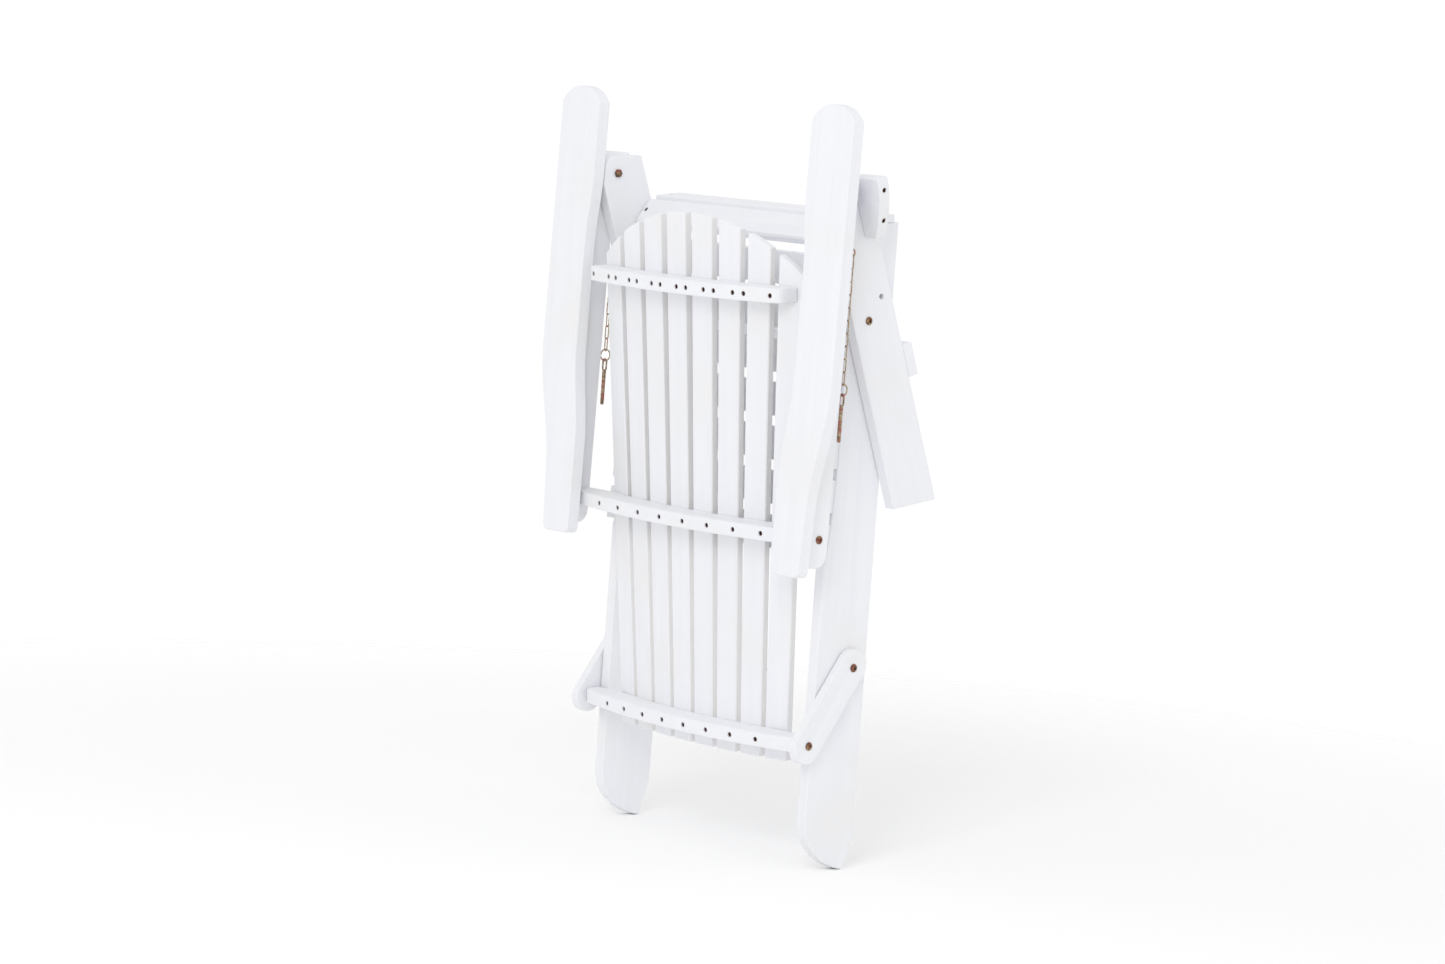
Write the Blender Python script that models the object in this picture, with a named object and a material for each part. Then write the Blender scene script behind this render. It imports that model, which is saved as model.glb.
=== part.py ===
"""Folding slatted garden armchair, modelled folded and standing on the ends of its two long rails.

X runs across the chair, Z along the rails from their feet to the front of the seat, and the
slatted seat faces -Y. The back folds flat in front of the seat, with its own rear side to -Y.
Every length is in metres. The chair is laid out with y = 0 on the seat edge of the rails and
z = 0 on the tips of their feet, and ORIGIN_Y then moves it so that it is centred in depth.
"""

import math

import bmesh
import bpy
from mathutils import Matrix, Vector

# Boards and gaps
BOARD = 0.020            # rails, legs, arm rails and corbels
GAP = 0.0003             # between pieces that touch
CHAMFER = 0.0012         # eased edges of every board

# Side rails (stringers)
SEAT_HALF_WIDTH = 0.260  # to the outer face of a side rail
RAIL_DEPTH = 0.096
RAIL_LENGTH = 0.9704     # to the front of the cut that the apron lies on
FOOT_TIP_Y = 0.0787
FOOT_CUT_LENGTH = 0.058
GROUND_ANGLE = math.radians(17.3)   # of the ground to the rails when the chair is open
TOE_Z = 0.074            # where the rounding of the foot starts
TOE_TURN = 80.0          # degrees of a quarter ellipse that the rounding takes up

# Seat
SEAT_SLAT_COUNT = 7
SEAT_SLAT_PITCH = 0.0665
SEAT_SLAT_WIDTH = 0.050
SEAT_SLAT_THICKNESS = 0.015
SEAT_START_Z = 0.4727
SEAT_DIP = 0.012         # how far the seat edge of a rail is hollowed
SEAT_DIP_LOW = 0.462
SEAT_DIP_HIGH = 0.930
NOSE_HIGH = (0.0432, 0.9674)        # back face of the tilted front slat
NOSE_LOW = (0.0161, 0.9306)
NOSE_THICKNESS = 0.018
NOSE_CHAMFER = 0.003
APRON_FRONT_Y = 0.0413
APRON_DEPTH = 0.0473
APRON_THICKNESS = 0.012
APRON_TILT = math.radians(7.2)      # of the cut across the rails' ends

# Front legs, in their own directions: w across from the pivot, s along from the pivot
LEG_PIVOT = (0.033, 0.8294)
LEG_ANGLE = math.radians(21.1)
LEG_SIDE_GAP = 0.001
LEG_FRONT = -0.0295
LEG_REAR = 0.0529
LEG_FOOT_REAR = 0.3050
LEG_FOOT_FRONT = 0.2900
LEG_TOP_REAR = -0.2085
LEG_SHOULDER = (-0.0135, -0.2285)   # front corner of the top, rounded
LEG_SHOULDER_RADIUS = 0.020
LEG_SHOULDER_END = -0.188
OPEN_TURN = 62.1         # degrees that a leg turns on its rail as the chair opens
LOCK_HOLE = (0.033, -0.0268)
LOCK_HOLE_RADIUS = 0.0045
STRETCHER_START = 0.0584
STRETCHER_WIDTH = 0.0506
STRETCHER_THICKNESS = 0.018
CORBEL_FACE = 0.0256
CORBEL_TOP = -0.215
CORBEL_LENGTH = 0.094
CORBEL_TOP_REACH = 0.058  # how far out it stands at its top
CORBEL_TAPER = 0.033

# Arms, in their own directions: n out of the arm's upper side, t along it from the rear bolt
ARM_PIVOT = (-0.050, 0.5053)
ARM_ANGLE = math.radians(0.93)
ARM_THICKNESS = 0.022
ARM_CHAMFER = 0.0016
ARM_REAR_CORNER = 0.010   # radius
ARM_UNDERSIDE = -0.024
ARM_REAR = -0.0565
ARM_NOSE_RADIUS = 0.060
ARM_NOSE_CENTRE = (0.3045, 0.5795)
ARM_NOSE_CORNER = 37.65  # degrees round the nose at which it meets the sides
ARM_RAIL_DEPTH = 0.0417
ARM_RAIL_REAR = -0.043
ARM_RAIL_FRONT = 0.526
ARM_RAIL_REAR_CORNER = 0.020
ARM_RAIL_FRONT_CORNER = 0.010
ARM_BOLT = (0.0048, 0.5078)         # n and t of the bolt through the leg top

# Links between the side rails and the foot of the back
LINK_PIVOT = (0.0585, 0.309)
LINK_SIDE_GAP = 0.0015
LINK_THICKNESS = 0.0145
LINK_RADIUS = 0.024
LINK_OVERHANG = 0.005

# Back, in its own directions: u up along the panel and d towards the seat
BACK_PIVOT = (-0.0178, 0.193)
BACK_ANGLE = math.radians(5.9)
BACK_SLAT_COUNT = 8
BACK_SLAT_THICKNESS = 0.013
BACK_SLAT_CHAMFER = 0.0015
BACK_SLAT_WIDTH_FOOT = 0.043
BACK_SLAT_WIDTH_HEAD = 0.047
BACK_PITCH_AT_PIVOT = 0.0523
BACK_PITCH_GROWTH = 0.01364         # of the pitch for each metre of height
BACK_RADIUS = 1.10       # of the hollow across the panel
BACK_REAR_D = -0.002
BACK_FOOT_U = -0.037
BACK_HEAD_U = 0.778
BACK_ARCH_RADIUS = 0.410
BATTEN_FRONT_D = -0.042
BATTEN_HEIGHT = 0.022
BATTEN_CORNER = 0.012
# name: height u, half length, radius of the rear edge, furthest d of the front edge
BATTENS = {
    "back_batten_lower": (0.0, 0.260 - GAP, 1.15, 0.013),
    "back_batten_middle": (0.3142, 0.2815, 1.30, 0.019),
    "back_batten_upper": (0.6700, 0.230, 1.05, 0.030),
}

# Bolts
BOLT_RADIUS = 0.0040
BORE_RADIUS = 0.0043
HEAD_RADIUS = 0.0075
HEAD_HEIGHT = 0.0022
NUT_RADIUS = 0.0070
NUT_HEIGHT = 0.0050
BOLT_SIDES = 12
LAG_LENGTH = 0.045       # of thread in the end of a batten

# Screws, sunk into round pockets
SCREW_HOLE_RADIUS = 0.0040
SCREW_HOLE_DEPTH = 0.0030
SCREW_HOLE_SIDES = 10
PAIR_HALF_SPACING = 0.0109          # of the two screws in each slat of the upper batten
CORBEL_SCREWS = (-0.196, -0.148)    # s of the screws through each corbel
SLAT_SCREW_X = 0.250

# Lock pins on their chains
CHAIN_X = 0.2888
CHAIN_TOP = (-0.015, 0.9245)
CHAIN_LINKS = 10
CHAIN_PITCH = 0.01907
CHAIN_WIRE = 0.00095
CHAIN_LINK_HALF_WIDTH = 0.0029
LINK_OVERLAP = 0.0007    # how far a link's bend reaches past the middle of the next one's
EYE_RADIUS = 0.0050
EYE_WIRE = 0.0012
RING_RADIUS = 0.0090
RING_WIRE = 0.0010
PIN_EYE_HALF_LENGTH = 0.0090
PIN_EYE_HALF_WIDTH = 0.0036
PIN_EYE_WIRE = 0.0013
PIN_RADIUS = 0.0030
PIN_LENGTH = 0.0545
PIN_SINK = 0.0004        # of the rod into its eye
# distance below the top of the rod, radius as a share of the full one
PIN_PROFILE = ((0.0, 0.8), (0.0015, 1.0), (PIN_LENGTH - 0.003, 1.0), (PIN_LENGTH, 0.55))

LEG_INNER_X = SEAT_HALF_WIDTH + LEG_SIDE_GAP
LEG_OUTER_X = LEG_INNER_X + BOARD
ARM_RAIL_INNER_X = LEG_OUTER_X + LEG_SIDE_GAP
ARM_RAIL_OUTER_X = ARM_RAIL_INNER_X + BOARD
LINK_INNER_X = SEAT_HALF_WIDTH + LINK_SIDE_GAP
LINK_OUTER_X = LINK_INNER_X + LINK_THICKNESS
SIDES = {"left": -1.0, "right": 1.0}
X_AXIS = Vector((1.0, 0.0, 0.0))
Y_AXIS = Vector((0.0, 1.0, 0.0))
Z_AXIS = Vector((0.0, 0.0, 1.0))


def leg_point(w, s):
    """Depth and height of a point of the folded leg."""
    y = LEG_PIVOT[0] + w * math.cos(LEG_ANGLE) + s * math.sin(LEG_ANGLE)
    z = LEG_PIVOT[1] + w * math.sin(LEG_ANGLE) - s * math.cos(LEG_ANGLE)
    return y, z


def arm_point(n, t):
    """Depth and height of a point of the folded arm."""
    y = ARM_PIVOT[0] + n * math.cos(ARM_ANGLE) + t * math.sin(ARM_ANGLE)
    z = ARM_PIVOT[1] - n * math.sin(ARM_ANGLE) + t * math.cos(ARM_ANGLE)
    return y, z


def back_point(d, u):
    """Depth and height of a point of the folded back."""
    y = BACK_PIVOT[0] + d * math.cos(BACK_ANGLE) - u * math.sin(BACK_ANGLE)
    z = BACK_PIVOT[1] + d * math.sin(BACK_ANGLE) + u * math.cos(BACK_ANGLE)
    return y, z


ORIGIN_Y = 0.5 * (
    leg_point(LEG_REAR, LEG_FOOT_REAR)[0]
    + back_point(BATTEN_FRONT_D, BATTENS["back_batten_upper"][0] + 0.5 * BATTEN_HEIGHT)[0]
)


def smooth_step(value, start, end):
    """0 before start, 1 after end, and an S-curve between them."""
    ratio = min(1.0, max(0.0, (value - start) / (end - start)))
    return ratio * ratio * (3.0 - 2.0 * ratio)


def arc(centre, radius, start, end, steps):
    """Points along a circular arc, with its angles in degrees."""
    points = []
    for step in range(steps + 1):
        angle = math.radians(start + (end - start) * step / steps)
        points.append((centre[0] + radius * math.cos(angle), centre[1] + radius * math.sin(angle)))
    return points


def round_corner(before, corner, after, radius, steps=4):
    """Points of the arc that rounds one corner of an outline."""
    corner = Vector(corner)
    to_before = (Vector(before) - corner).normalized()
    to_after = (Vector(after) - corner).normalized()
    half = 0.5 * to_before.angle(to_after)
    centre = corner + (to_before + to_after).normalized() * (radius / math.sin(half))
    first = corner + to_before * (radius / math.tan(half)) - centre
    last = corner + to_after * (radius / math.tan(half)) - centre
    turn = first.angle_signed(last)
    points = []
    for step in range(steps + 1):
        spoke = Matrix.Rotation(-turn * step / steps, 2) @ first
        points.append(tuple(centre + spoke))
    return points


# Scene, materials and moving frames

for old_object in list(bpy.data.objects):
    bpy.data.objects.remove(old_object, do_unlink=True)


def make_material(name, colour, roughness, metallic):
    """A plain Principled material."""
    material = bpy.data.materials.new(name)
    material.use_nodes = True
    shader = material.node_tree.nodes["Principled BSDF"]
    shader.inputs["Base Color"].default_value = (*colour, 1.0)
    shader.inputs["Roughness"].default_value = roughness
    shader.inputs["Metallic"].default_value = metallic
    return material


def painted_wood(name):
    return make_material(name, (0.86, 0.87, 0.89), 0.55, 0.0)


def plated_steel(name):
    return make_material(name, (0.42, 0.36, 0.27), 0.38, 1.0)


def make_frame(name, depth_and_height, x=0.0, parent=None):
    """An empty on the axis of a joint, which carries the pieces that turn about it."""
    frame = bpy.data.objects.new(name, None)
    bpy.context.collection.objects.link(frame)
    place = Vector((x, depth_and_height[0] - ORIGIN_Y, depth_and_height[1]))
    frame["place"] = place
    frame.location = place
    if parent is not None:
        frame.parent = parent
        frame.location = place - Vector(parent["place"])
    return frame


SEAT_FRAME = make_frame("seat_frame_axis", (0.0, 0.0))
LEG_FRAME = make_frame("leg_axis", LEG_PIVOT)
LINK_FRAME = make_frame("link_axis", LINK_PIVOT)
BACK_FRAME = make_frame("back_axis", BACK_PIVOT, parent=LINK_FRAME)
ARM_FRAME = make_frame("arm_axis", ARM_PIVOT, parent=BACK_FRAME)
CHAIN_FRAMES = {}
for side_name, side in SIDES.items():
    CHAIN_FRAMES[side_name] = make_frame(
        "chain_axis_" + side_name, CHAIN_TOP, x=side * CHAIN_X, parent=LEG_FRAME
    )


def add_piece(name, shape, material, frame, smooth=False):
    """Turn a bmesh laid out in the chair's own coordinates into an object on its frame."""
    bmesh.ops.recalc_face_normals(shape, faces=shape.faces)
    offset = Vector((0.0, -ORIGIN_Y, 0.0)) - Vector(frame["place"])
    bmesh.ops.translate(shape, verts=shape.verts, vec=offset)
    mesh = bpy.data.meshes.new(name)
    shape.to_mesh(mesh)
    shape.free()
    if smooth:
        mesh.shade_smooth()
        mesh.set_sharp_from_angle(angle=math.radians(35.0))
    mesh.materials.append(material)
    piece = bpy.data.objects.new(name, mesh)
    bpy.context.collection.objects.link(piece)
    piece.parent = frame
    return piece


def ease_edges(piece, width=CHAMFER):
    """Chamfer the sharp edges of a board."""
    bevel = piece.modifiers.new("eased_edges", "BEVEL")
    bevel.width = width
    bevel.segments = 1
    bevel.limit_method = "ANGLE"
    bevel.angle_limit = math.radians(40.0)


def drill(piece, cutter):
    """Cut a bore with a cutter object."""
    bore = piece.modifiers.new("bore", "BOOLEAN")
    bore.operation = "DIFFERENCE"
    bore.solver = "EXACT"
    bore.object = cutter


def make_prism(outline, low, high, place):
    """A board with the given outline; place turns outline a, b and thickness c into x, y, z."""
    shape = bmesh.new()
    rings = []
    for c in (low, high):
        rings.append([shape.verts.new(place(a, b, c)) for a, b in outline])
    shape.faces.new(rings[0])
    shape.faces.new(rings[1])
    count = len(outline)
    for index in range(count):
        after = (index + 1) % count
        shape.faces.new((rings[0][index], rings[0][after], rings[1][after], rings[1][index]))
    return shape


def side_board(outline, side, inner, outer):
    """A board lying in a side plane of the chair, with its outline in depth and height."""
    return make_prism(outline, side * inner, side * outer, lambda y, z, x: (x, y, z))


def turned(profile, centre, axis_x, sides=BOLT_SIDES):
    """A solid turned about a line along X; profile holds distance along the line and radius."""
    shape = bmesh.new()
    rings = []
    for along, radius in profile:
        ring = []
        for step in range(sides):
            angle = 2.0 * math.pi * step / sides
            y = centre[0] + radius * math.cos(angle)
            z = centre[1] + radius * math.sin(angle)
            ring.append(shape.verts.new((axis_x * along, y, z)))
        rings.append(ring)
    for first, second in zip(rings, rings[1:]):
        for step in range(sides):
            after = (step + 1) % sides
            shape.faces.new((first[step], first[after], second[after], second[step]))
    shape.faces.new(rings[0])
    shape.faces.new(rings[-1])
    return shape


def make_cutter(name, centre, start, end, radius=BORE_RADIUS):
    """A round cutter on both sides of the chair between two distances from its middle."""
    cutters = {}
    for side_name, side in SIDES.items():
        shape = turned(((start, radius), (end, radius)), centre, side)
        cutter = add_piece(name + "_" + side_name, shape, CUTTER_MATERIAL, SEAT_FRAME)
        cutter.hide_render = True
        cutter.display_type = "WIRE"
        cutters[side_name] = cutter
    return cutters


def circle_path(centre, radius, first, second, steps):
    path = []
    for step in range(steps):
        angle = 2.0 * math.pi * step / steps
        path.append(centre + first * (radius * math.cos(angle)) + second * (radius * math.sin(angle)))
    return path


def sink_screws(piece, frame, screws):
    """Cut a pocket for each screw; screws holds points on the surface and outward directions."""
    pockets = bmesh.new()
    for point, out in screws:
        middle = Vector(point)
        out = Vector(out).normalized()
        across = out.orthogonal().normalized()
        around = out.cross(across)
        rings = []
        for along in (-SCREW_HOLE_DEPTH, SCREW_HOLE_DEPTH):
            centre = middle + out * along
            path = circle_path(centre, SCREW_HOLE_RADIUS, across, around, SCREW_HOLE_SIDES)
            rings.append([pockets.verts.new(corner) for corner in path])
        pockets.faces.new(rings[0])
        pockets.faces.new(rings[1])
        for step in range(SCREW_HOLE_SIDES):
            after = (step + 1) % SCREW_HOLE_SIDES
            pockets.faces.new((rings[0][step], rings[0][after], rings[1][after], rings[1][step]))
    cutter = add_piece(piece.name + "_pockets", pockets, CUTTER_MATERIAL, frame)
    cutter.hide_render = True
    cutter.display_type = "WIRE"
    drill(piece, cutter)


CUTTER_MATERIAL = make_material("cutter", (0.8, 0.2, 0.2), 0.5, 0.0)
ARM_BOLT_PLACE = arm_point(*ARM_BOLT)
MARGIN = 0.006
LEG_BORE = make_cutter(
    "leg_bore", LEG_PIVOT, SEAT_HALF_WIDTH - BOARD - MARGIN, LEG_OUTER_X + MARGIN
)
LOCK_BORE = make_cutter(
    "lock_bore", leg_point(*LOCK_HOLE), SEAT_HALF_WIDTH - MARGIN,
    LEG_OUTER_X + MARGIN, LOCK_HOLE_RADIUS
)
LOCKED = Vector(leg_point(*LOCK_HOLE)) - Vector(LEG_PIVOT)
LOCKED.rotate(Matrix.Rotation(math.radians(OPEN_TURN), 2))
OPEN_LOCK_BORE = make_cutter(
    "open_lock_bore", tuple(Vector(LEG_PIVOT) + LOCKED), SEAT_HALF_WIDTH - BOARD - MARGIN,
    SEAT_HALF_WIDTH + MARGIN, LOCK_HOLE_RADIUS
)
LINK_BORE = make_cutter(
    "link_bore", LINK_PIVOT, SEAT_HALF_WIDTH - BOARD - MARGIN, LINK_OUTER_X + MARGIN
)
BACK_BORE = make_cutter(
    "back_bore", BACK_PIVOT, SEAT_HALF_WIDTH - LAG_LENGTH, LINK_OUTER_X + MARGIN
)
REAR_ARM_BORE = make_cutter(
    "rear_arm_bore", ARM_PIVOT, ARM_RAIL_INNER_X - LAG_LENGTH, ARM_RAIL_OUTER_X + MARGIN
)
FRONT_ARM_BORE = make_cutter(
    "front_arm_bore", ARM_BOLT_PLACE, LEG_INNER_X - MARGIN, ARM_RAIL_OUTER_X + MARGIN
)
EYE_BORE = make_cutter(
    "eye_bore", (CHAIN_TOP[0], CHAIN_TOP[1] + EYE_RADIUS), LEG_OUTER_X - 0.012,
    LEG_OUTER_X + MARGIN, EYE_WIRE + GAP
)


# Side rails: one board each, hollowed along the seat, with the foot cut flat to the ground

def seat_edge(z):
    """Depth of a side rail's seat edge at a height."""
    ratio = (z - SEAT_DIP_LOW) / (SEAT_DIP_HIGH - SEAT_DIP_LOW)
    if ratio <= 0.0 or ratio >= 1.0:
        return 0.0
    return SEAT_DIP * math.sin(math.pi * ratio ** 0.75)


def seat_slat_span(index):
    """Lower and upper height of a seat slat."""
    low = SEAT_START_Z + index * SEAT_SLAT_PITCH
    return low, low + SEAT_SLAT_WIDTH


def rail_end(y):
    """Height of the sloping cut across a side rail's end at a depth."""
    return RAIL_LENGTH + (y - APRON_FRONT_Y) * math.tan(APRON_TILT)


def side_rail_outline():
    heel = (
        FOOT_TIP_Y + FOOT_CUT_LENGTH * math.sin(GROUND_ANGLE),
        FOOT_CUT_LENGTH * math.cos(GROUND_ANGLE),
    )
    outline = [(FOOT_TIP_Y, 0.0), heel, (heel[0], rail_end(heel[0]))]
    nose = Vector(NOSE_HIGH) - Vector(NOSE_LOW)
    for height in (rail_end(NOSE_HIGH[0]), seat_slat_span(SEAT_SLAT_COUNT - 1)[1] + 0.004):
        reach = (height - NOSE_LOW[1]) / nose[1]
        outline.append((NOSE_LOW[0] + reach * nose[0] + GAP, height))
    for index in reversed(range(SEAT_SLAT_COUNT)):
        low, high = seat_slat_span(index)
        outline.append((seat_edge(high), high))
        outline.append((seat_edge(low), low))
    outline.append((0.0, SEAT_DIP_LOW))
    reach = FOOT_TIP_Y / (1.0 - math.cos(math.radians(TOE_TURN)))
    rise = TOE_Z / math.sin(math.radians(TOE_TURN))
    for step in range(10):
        angle = math.radians(TOE_TURN * step / 10.0)
        outline.append((reach * (1.0 - math.cos(angle)), TOE_Z - rise * math.sin(angle)))
    return outline


for side_name, side in SIDES.items():
    rail = add_piece(
        "side_rail_" + side_name,
        side_board(side_rail_outline(), side, SEAT_HALF_WIDTH - BOARD, SEAT_HALF_WIDTH),
        painted_wood("side_rail_" + side_name), SEAT_FRAME,
    )
    ease_edges(rail)
    for bore in (LEG_BORE, LINK_BORE, OPEN_LOCK_BORE):
        drill(rail, bore[side_name])


# Seat: straight slats across the rails, a tilted front slat and an apron on the rails' ends

def crossing_board(section, half_length):
    """A board along X with the given section in depth and height."""
    return make_prism(section, -half_length, half_length, lambda y, z, x: (x, y, z))


def slat_section(low, high, thickness):
    """Section of a slat that lies on the line from low to high, on its outer side."""
    along = (Vector(high) - Vector(low)).normalized()
    out = Vector((-along[1], along[0]))
    corners = [
        Vector(low) + out * GAP,
        Vector(high) + out * GAP,
        Vector(high) + out * (GAP + thickness),
        Vector(low) + out * (GAP + thickness),
    ]
    return [tuple(corner) for corner in corners]


def sink_slat_screws(slat, section):
    """One screw into each side rail, half-way across the slat's outer face."""
    middle = 0.5 * (Vector(section[2]) + Vector(section[3]))
    along = Vector(section[2]) - Vector(section[3])
    screws = []
    for side in SIDES.values():
        screws.append(((side * SLAT_SCREW_X, middle[0], middle[1]), (0.0, -along[1], along[0])))
    sink_screws(slat, SEAT_FRAME, screws)


for index in range(SEAT_SLAT_COUNT):
    low, high = seat_slat_span(index)
    section = slat_section((seat_edge(low), low), (seat_edge(high), high), SEAT_SLAT_THICKNESS)
    name = "seat_slat_%d" % (index + 1)
    slat = add_piece(
        name, crossing_board(section, SEAT_HALF_WIDTH), painted_wood(name), SEAT_FRAME
    )
    ease_edges(slat)
    sink_slat_screws(slat, section)

nose_section = slat_section(NOSE_LOW, NOSE_HIGH, NOSE_THICKNESS)
nose_slat = add_piece(
    "seat_front_slat", crossing_board(nose_section, SEAT_HALF_WIDTH),
    painted_wood("seat_front_slat"), SEAT_FRAME,
)
ease_edges(nose_slat, NOSE_CHAMFER)
sink_slat_screws(nose_slat, nose_section)

apron_front = (APRON_FRONT_Y, RAIL_LENGTH)
apron_rear = (
    APRON_FRONT_Y + APRON_DEPTH * math.cos(APRON_TILT),
    RAIL_LENGTH + APRON_DEPTH * math.sin(APRON_TILT),
)
apron_section = slat_section(apron_front, apron_rear, APRON_THICKNESS)
apron = add_piece(
    "seat_apron", crossing_board(apron_section, SEAT_HALF_WIDTH),
    painted_wood("seat_apron"), SEAT_FRAME,
)
ease_edges(apron)
sink_slat_screws(apron, apron_section)


# Front legs with their stretcher and the corbels that hold up the arms

def leg_outline():
    shoulder = leg_point(*LEG_SHOULDER)
    rear_top = leg_point(LEG_REAR, LEG_TOP_REAR)
    shoulder_foot = leg_point(LEG_FRONT, LEG_SHOULDER_END)
    outline = [
        leg_point(LEG_FRONT, LEG_FOOT_FRONT),
        leg_point(LEG_REAR, LEG_FOOT_REAR),
        rear_top,
    ]
    outline += round_corner(rear_top, shoulder, shoulder_foot, LEG_SHOULDER_RADIUS)
    outline.append(shoulder_foot)
    return outline


def corbel_reach(s):
    """How far out from the leg a corbel's bellied edge stands."""
    ratio = (s - CORBEL_TOP) / CORBEL_LENGTH
    return CORBEL_TOP_REACH - CORBEL_TAPER * ratio ** 1.8


def corbel_outline():
    """Distance out from the leg and distance along it."""
    foot = CORBEL_TOP + CORBEL_LENGTH
    belly = []
    for step in range(7):
        s = CORBEL_TOP + CORBEL_LENGTH * step / 6.0
        belly.append((corbel_reach(s), s))
    return [(GAP, foot), (GAP, CORBEL_TOP)] + belly


for side_name, side in SIDES.items():
    leg = add_piece(
        "front_leg_" + side_name,
        side_board(leg_outline(), side, LEG_INNER_X, LEG_OUTER_X),
        painted_wood("front_leg_" + side_name), LEG_FRAME,
    )
    ease_edges(leg)
    for bore in (LEG_BORE, LOCK_BORE, EYE_BORE, FRONT_ARM_BORE):
        drill(leg, bore[side_name])

    def corbel_place(out, s, w, side=side):
        y, z = leg_point(w, s)
        return side * (LEG_OUTER_X + out), y, z

    corbel = add_piece(
        "arm_corbel_" + side_name,
        make_prism(corbel_outline(), CORBEL_FACE, CORBEL_FACE + BOARD, corbel_place),
        painted_wood("arm_corbel_" + side_name), LEG_FRAME,
    )
    ease_edges(corbel)
    corbel_screws = []
    for s in CORBEL_SCREWS:
        y, z = leg_point(CORBEL_FACE + 0.5 * BOARD, s)
        corbel_screws.append(((side * (LEG_OUTER_X + corbel_reach(s)), y, z), (side, 0.0, 0.0)))
    sink_screws(corbel, LEG_FRAME, corbel_screws)

stretcher_corners = []
for w, s in (
    (LEG_REAR + GAP, STRETCHER_START),
    (LEG_REAR + GAP, STRETCHER_START + STRETCHER_WIDTH),
    (LEG_REAR + GAP + STRETCHER_THICKNESS, STRETCHER_START + STRETCHER_WIDTH),
    (LEG_REAR + GAP + STRETCHER_THICKNESS, STRETCHER_START),
):
    stretcher_corners.append(leg_point(w, s))
stretcher = add_piece(
    "leg_stretcher", crossing_board(stretcher_corners, LEG_OUTER_X),
    painted_wood("leg_stretcher"), LEG_FRAME,
)
ease_edges(stretcher)
stretcher_screws = []
for side in SIDES.values():
    for share in (0.25, 0.75):
        w = LEG_REAR + GAP + STRETCHER_THICKNESS
        y, z = leg_point(w, STRETCHER_START + share * STRETCHER_WIDTH)
        screw_x = side * (LEG_INNER_X + 0.5 * BOARD)
        out = (0.0, math.cos(LEG_ANGLE), math.sin(LEG_ANGLE))
        stretcher_screws.append(((screw_x, y, z), out))
sink_screws(stretcher, LEG_FRAME, stretcher_screws)


# Arms: a shaped board on a rail that stands on edge under it

def arm_inner_edge(t):
    waist = 0.017 * smooth_step(t, 0.085, 0.230)
    return 0.249 + waist - 0.009 * smooth_step(t, 0.400, 0.500)


def arm_outer_edge(t):
    return 0.313 + 0.005 * smooth_step(t, -0.050, 0.035) + 0.034 * smooth_step(t, 0.035, 0.230)


def arm_outline():
    inner_stations = [0.085 + 0.0242 * step for step in range(7)] + [0.400, 0.433, 0.467, 0.500]
    outer_stations = [0.230 - 0.0325 * step for step in range(7)]
    rear_inner = (arm_inner_edge(ARM_REAR), ARM_REAR)
    rear_outer = (arm_outer_edge(ARM_REAR), ARM_REAR)
    inner_start = (arm_inner_edge(0.085), 0.085)
    outer_end = (arm_outer_edge(0.035), 0.035)
    outline = round_corner(outer_end, rear_outer, rear_inner, ARM_REAR_CORNER, 3)
    outline += round_corner(rear_outer, rear_inner, inner_start, ARM_REAR_CORNER, 3)
    outline += [(arm_inner_edge(t), t) for t in inner_stations]
    outline += arc(
        ARM_NOSE_CENTRE, ARM_NOSE_RADIUS, 180.0 - ARM_NOSE_CORNER, ARM_NOSE_CORNER, 12
    )
    outline += [(arm_outer_edge(t), t) for t in outer_stations]
    return outline


def arm_rail_outline():
    """n and t round an arm rail: both rear corners and the lower front corner are rounded."""
    upper = ARM_UNDERSIDE + GAP
    lower = upper + ARM_RAIL_DEPTH
    rear_upper = (upper, ARM_RAIL_REAR)
    rear_lower = (lower, ARM_RAIL_REAR)
    front_lower = (lower, ARM_RAIL_FRONT)
    front_upper = (upper, ARM_RAIL_FRONT)
    corners = [rear_upper]
    corners += round_corner(rear_upper, rear_lower, front_lower, ARM_RAIL_REAR_CORNER)
    corners += round_corner(rear_lower, front_lower, front_upper, ARM_RAIL_FRONT_CORNER, 3)
    corners.append(front_upper)
    return [arm_point(n, t) for n, t in corners]


for side_name, side in SIDES.items():
    def arm_place(x, t, n, side=side):
        y, z = arm_point(n, t)
        return side * x, y, z

    arm = add_piece(
        "arm_" + side_name,
        make_prism(arm_outline(), ARM_UNDERSIDE - ARM_THICKNESS, ARM_UNDERSIDE, arm_place),
        painted_wood("arm_" + side_name), ARM_FRAME,
    )
    ease_edges(arm, ARM_CHAMFER)
    arm_rail = add_piece(
        "arm_rail_" + side_name,
        side_board(arm_rail_outline(), side, ARM_RAIL_INNER_X, ARM_RAIL_OUTER_X),
        painted_wood("arm_rail_" + side_name), ARM_FRAME,
    )
    ease_edges(arm_rail)
    for bore in (REAR_ARM_BORE, FRONT_ARM_BORE):
        drill(arm_rail, bore[side_name])


# Links: round-ended plates from the side rails to the ends of the lower batten

def link_outline():
    upper = Vector(LINK_PIVOT)
    lower = Vector(BACK_PIVOT)
    along = (upper - lower).normalized()
    heading = math.degrees(math.atan2(along[1], along[0]))
    outline = arc(upper + along * LINK_OVERHANG, LINK_RADIUS, heading + 90, heading - 90, 8)
    outline += arc(lower - along * LINK_OVERHANG, LINK_RADIUS, heading - 90, heading - 270, 8)
    return outline


for side_name, side in SIDES.items():
    link = add_piece(
        "back_link_" + side_name,
        side_board(link_outline(), side, LINK_INNER_X, LINK_OUTER_X),
        painted_wood("back_link_" + side_name), LINK_FRAME,
    )
    ease_edges(link)
    for bore in (LINK_BORE, BACK_BORE):
        drill(link, bore[side_name])


# Back: slats fanned on a hollow curve, on the front of three bowed battens

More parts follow.
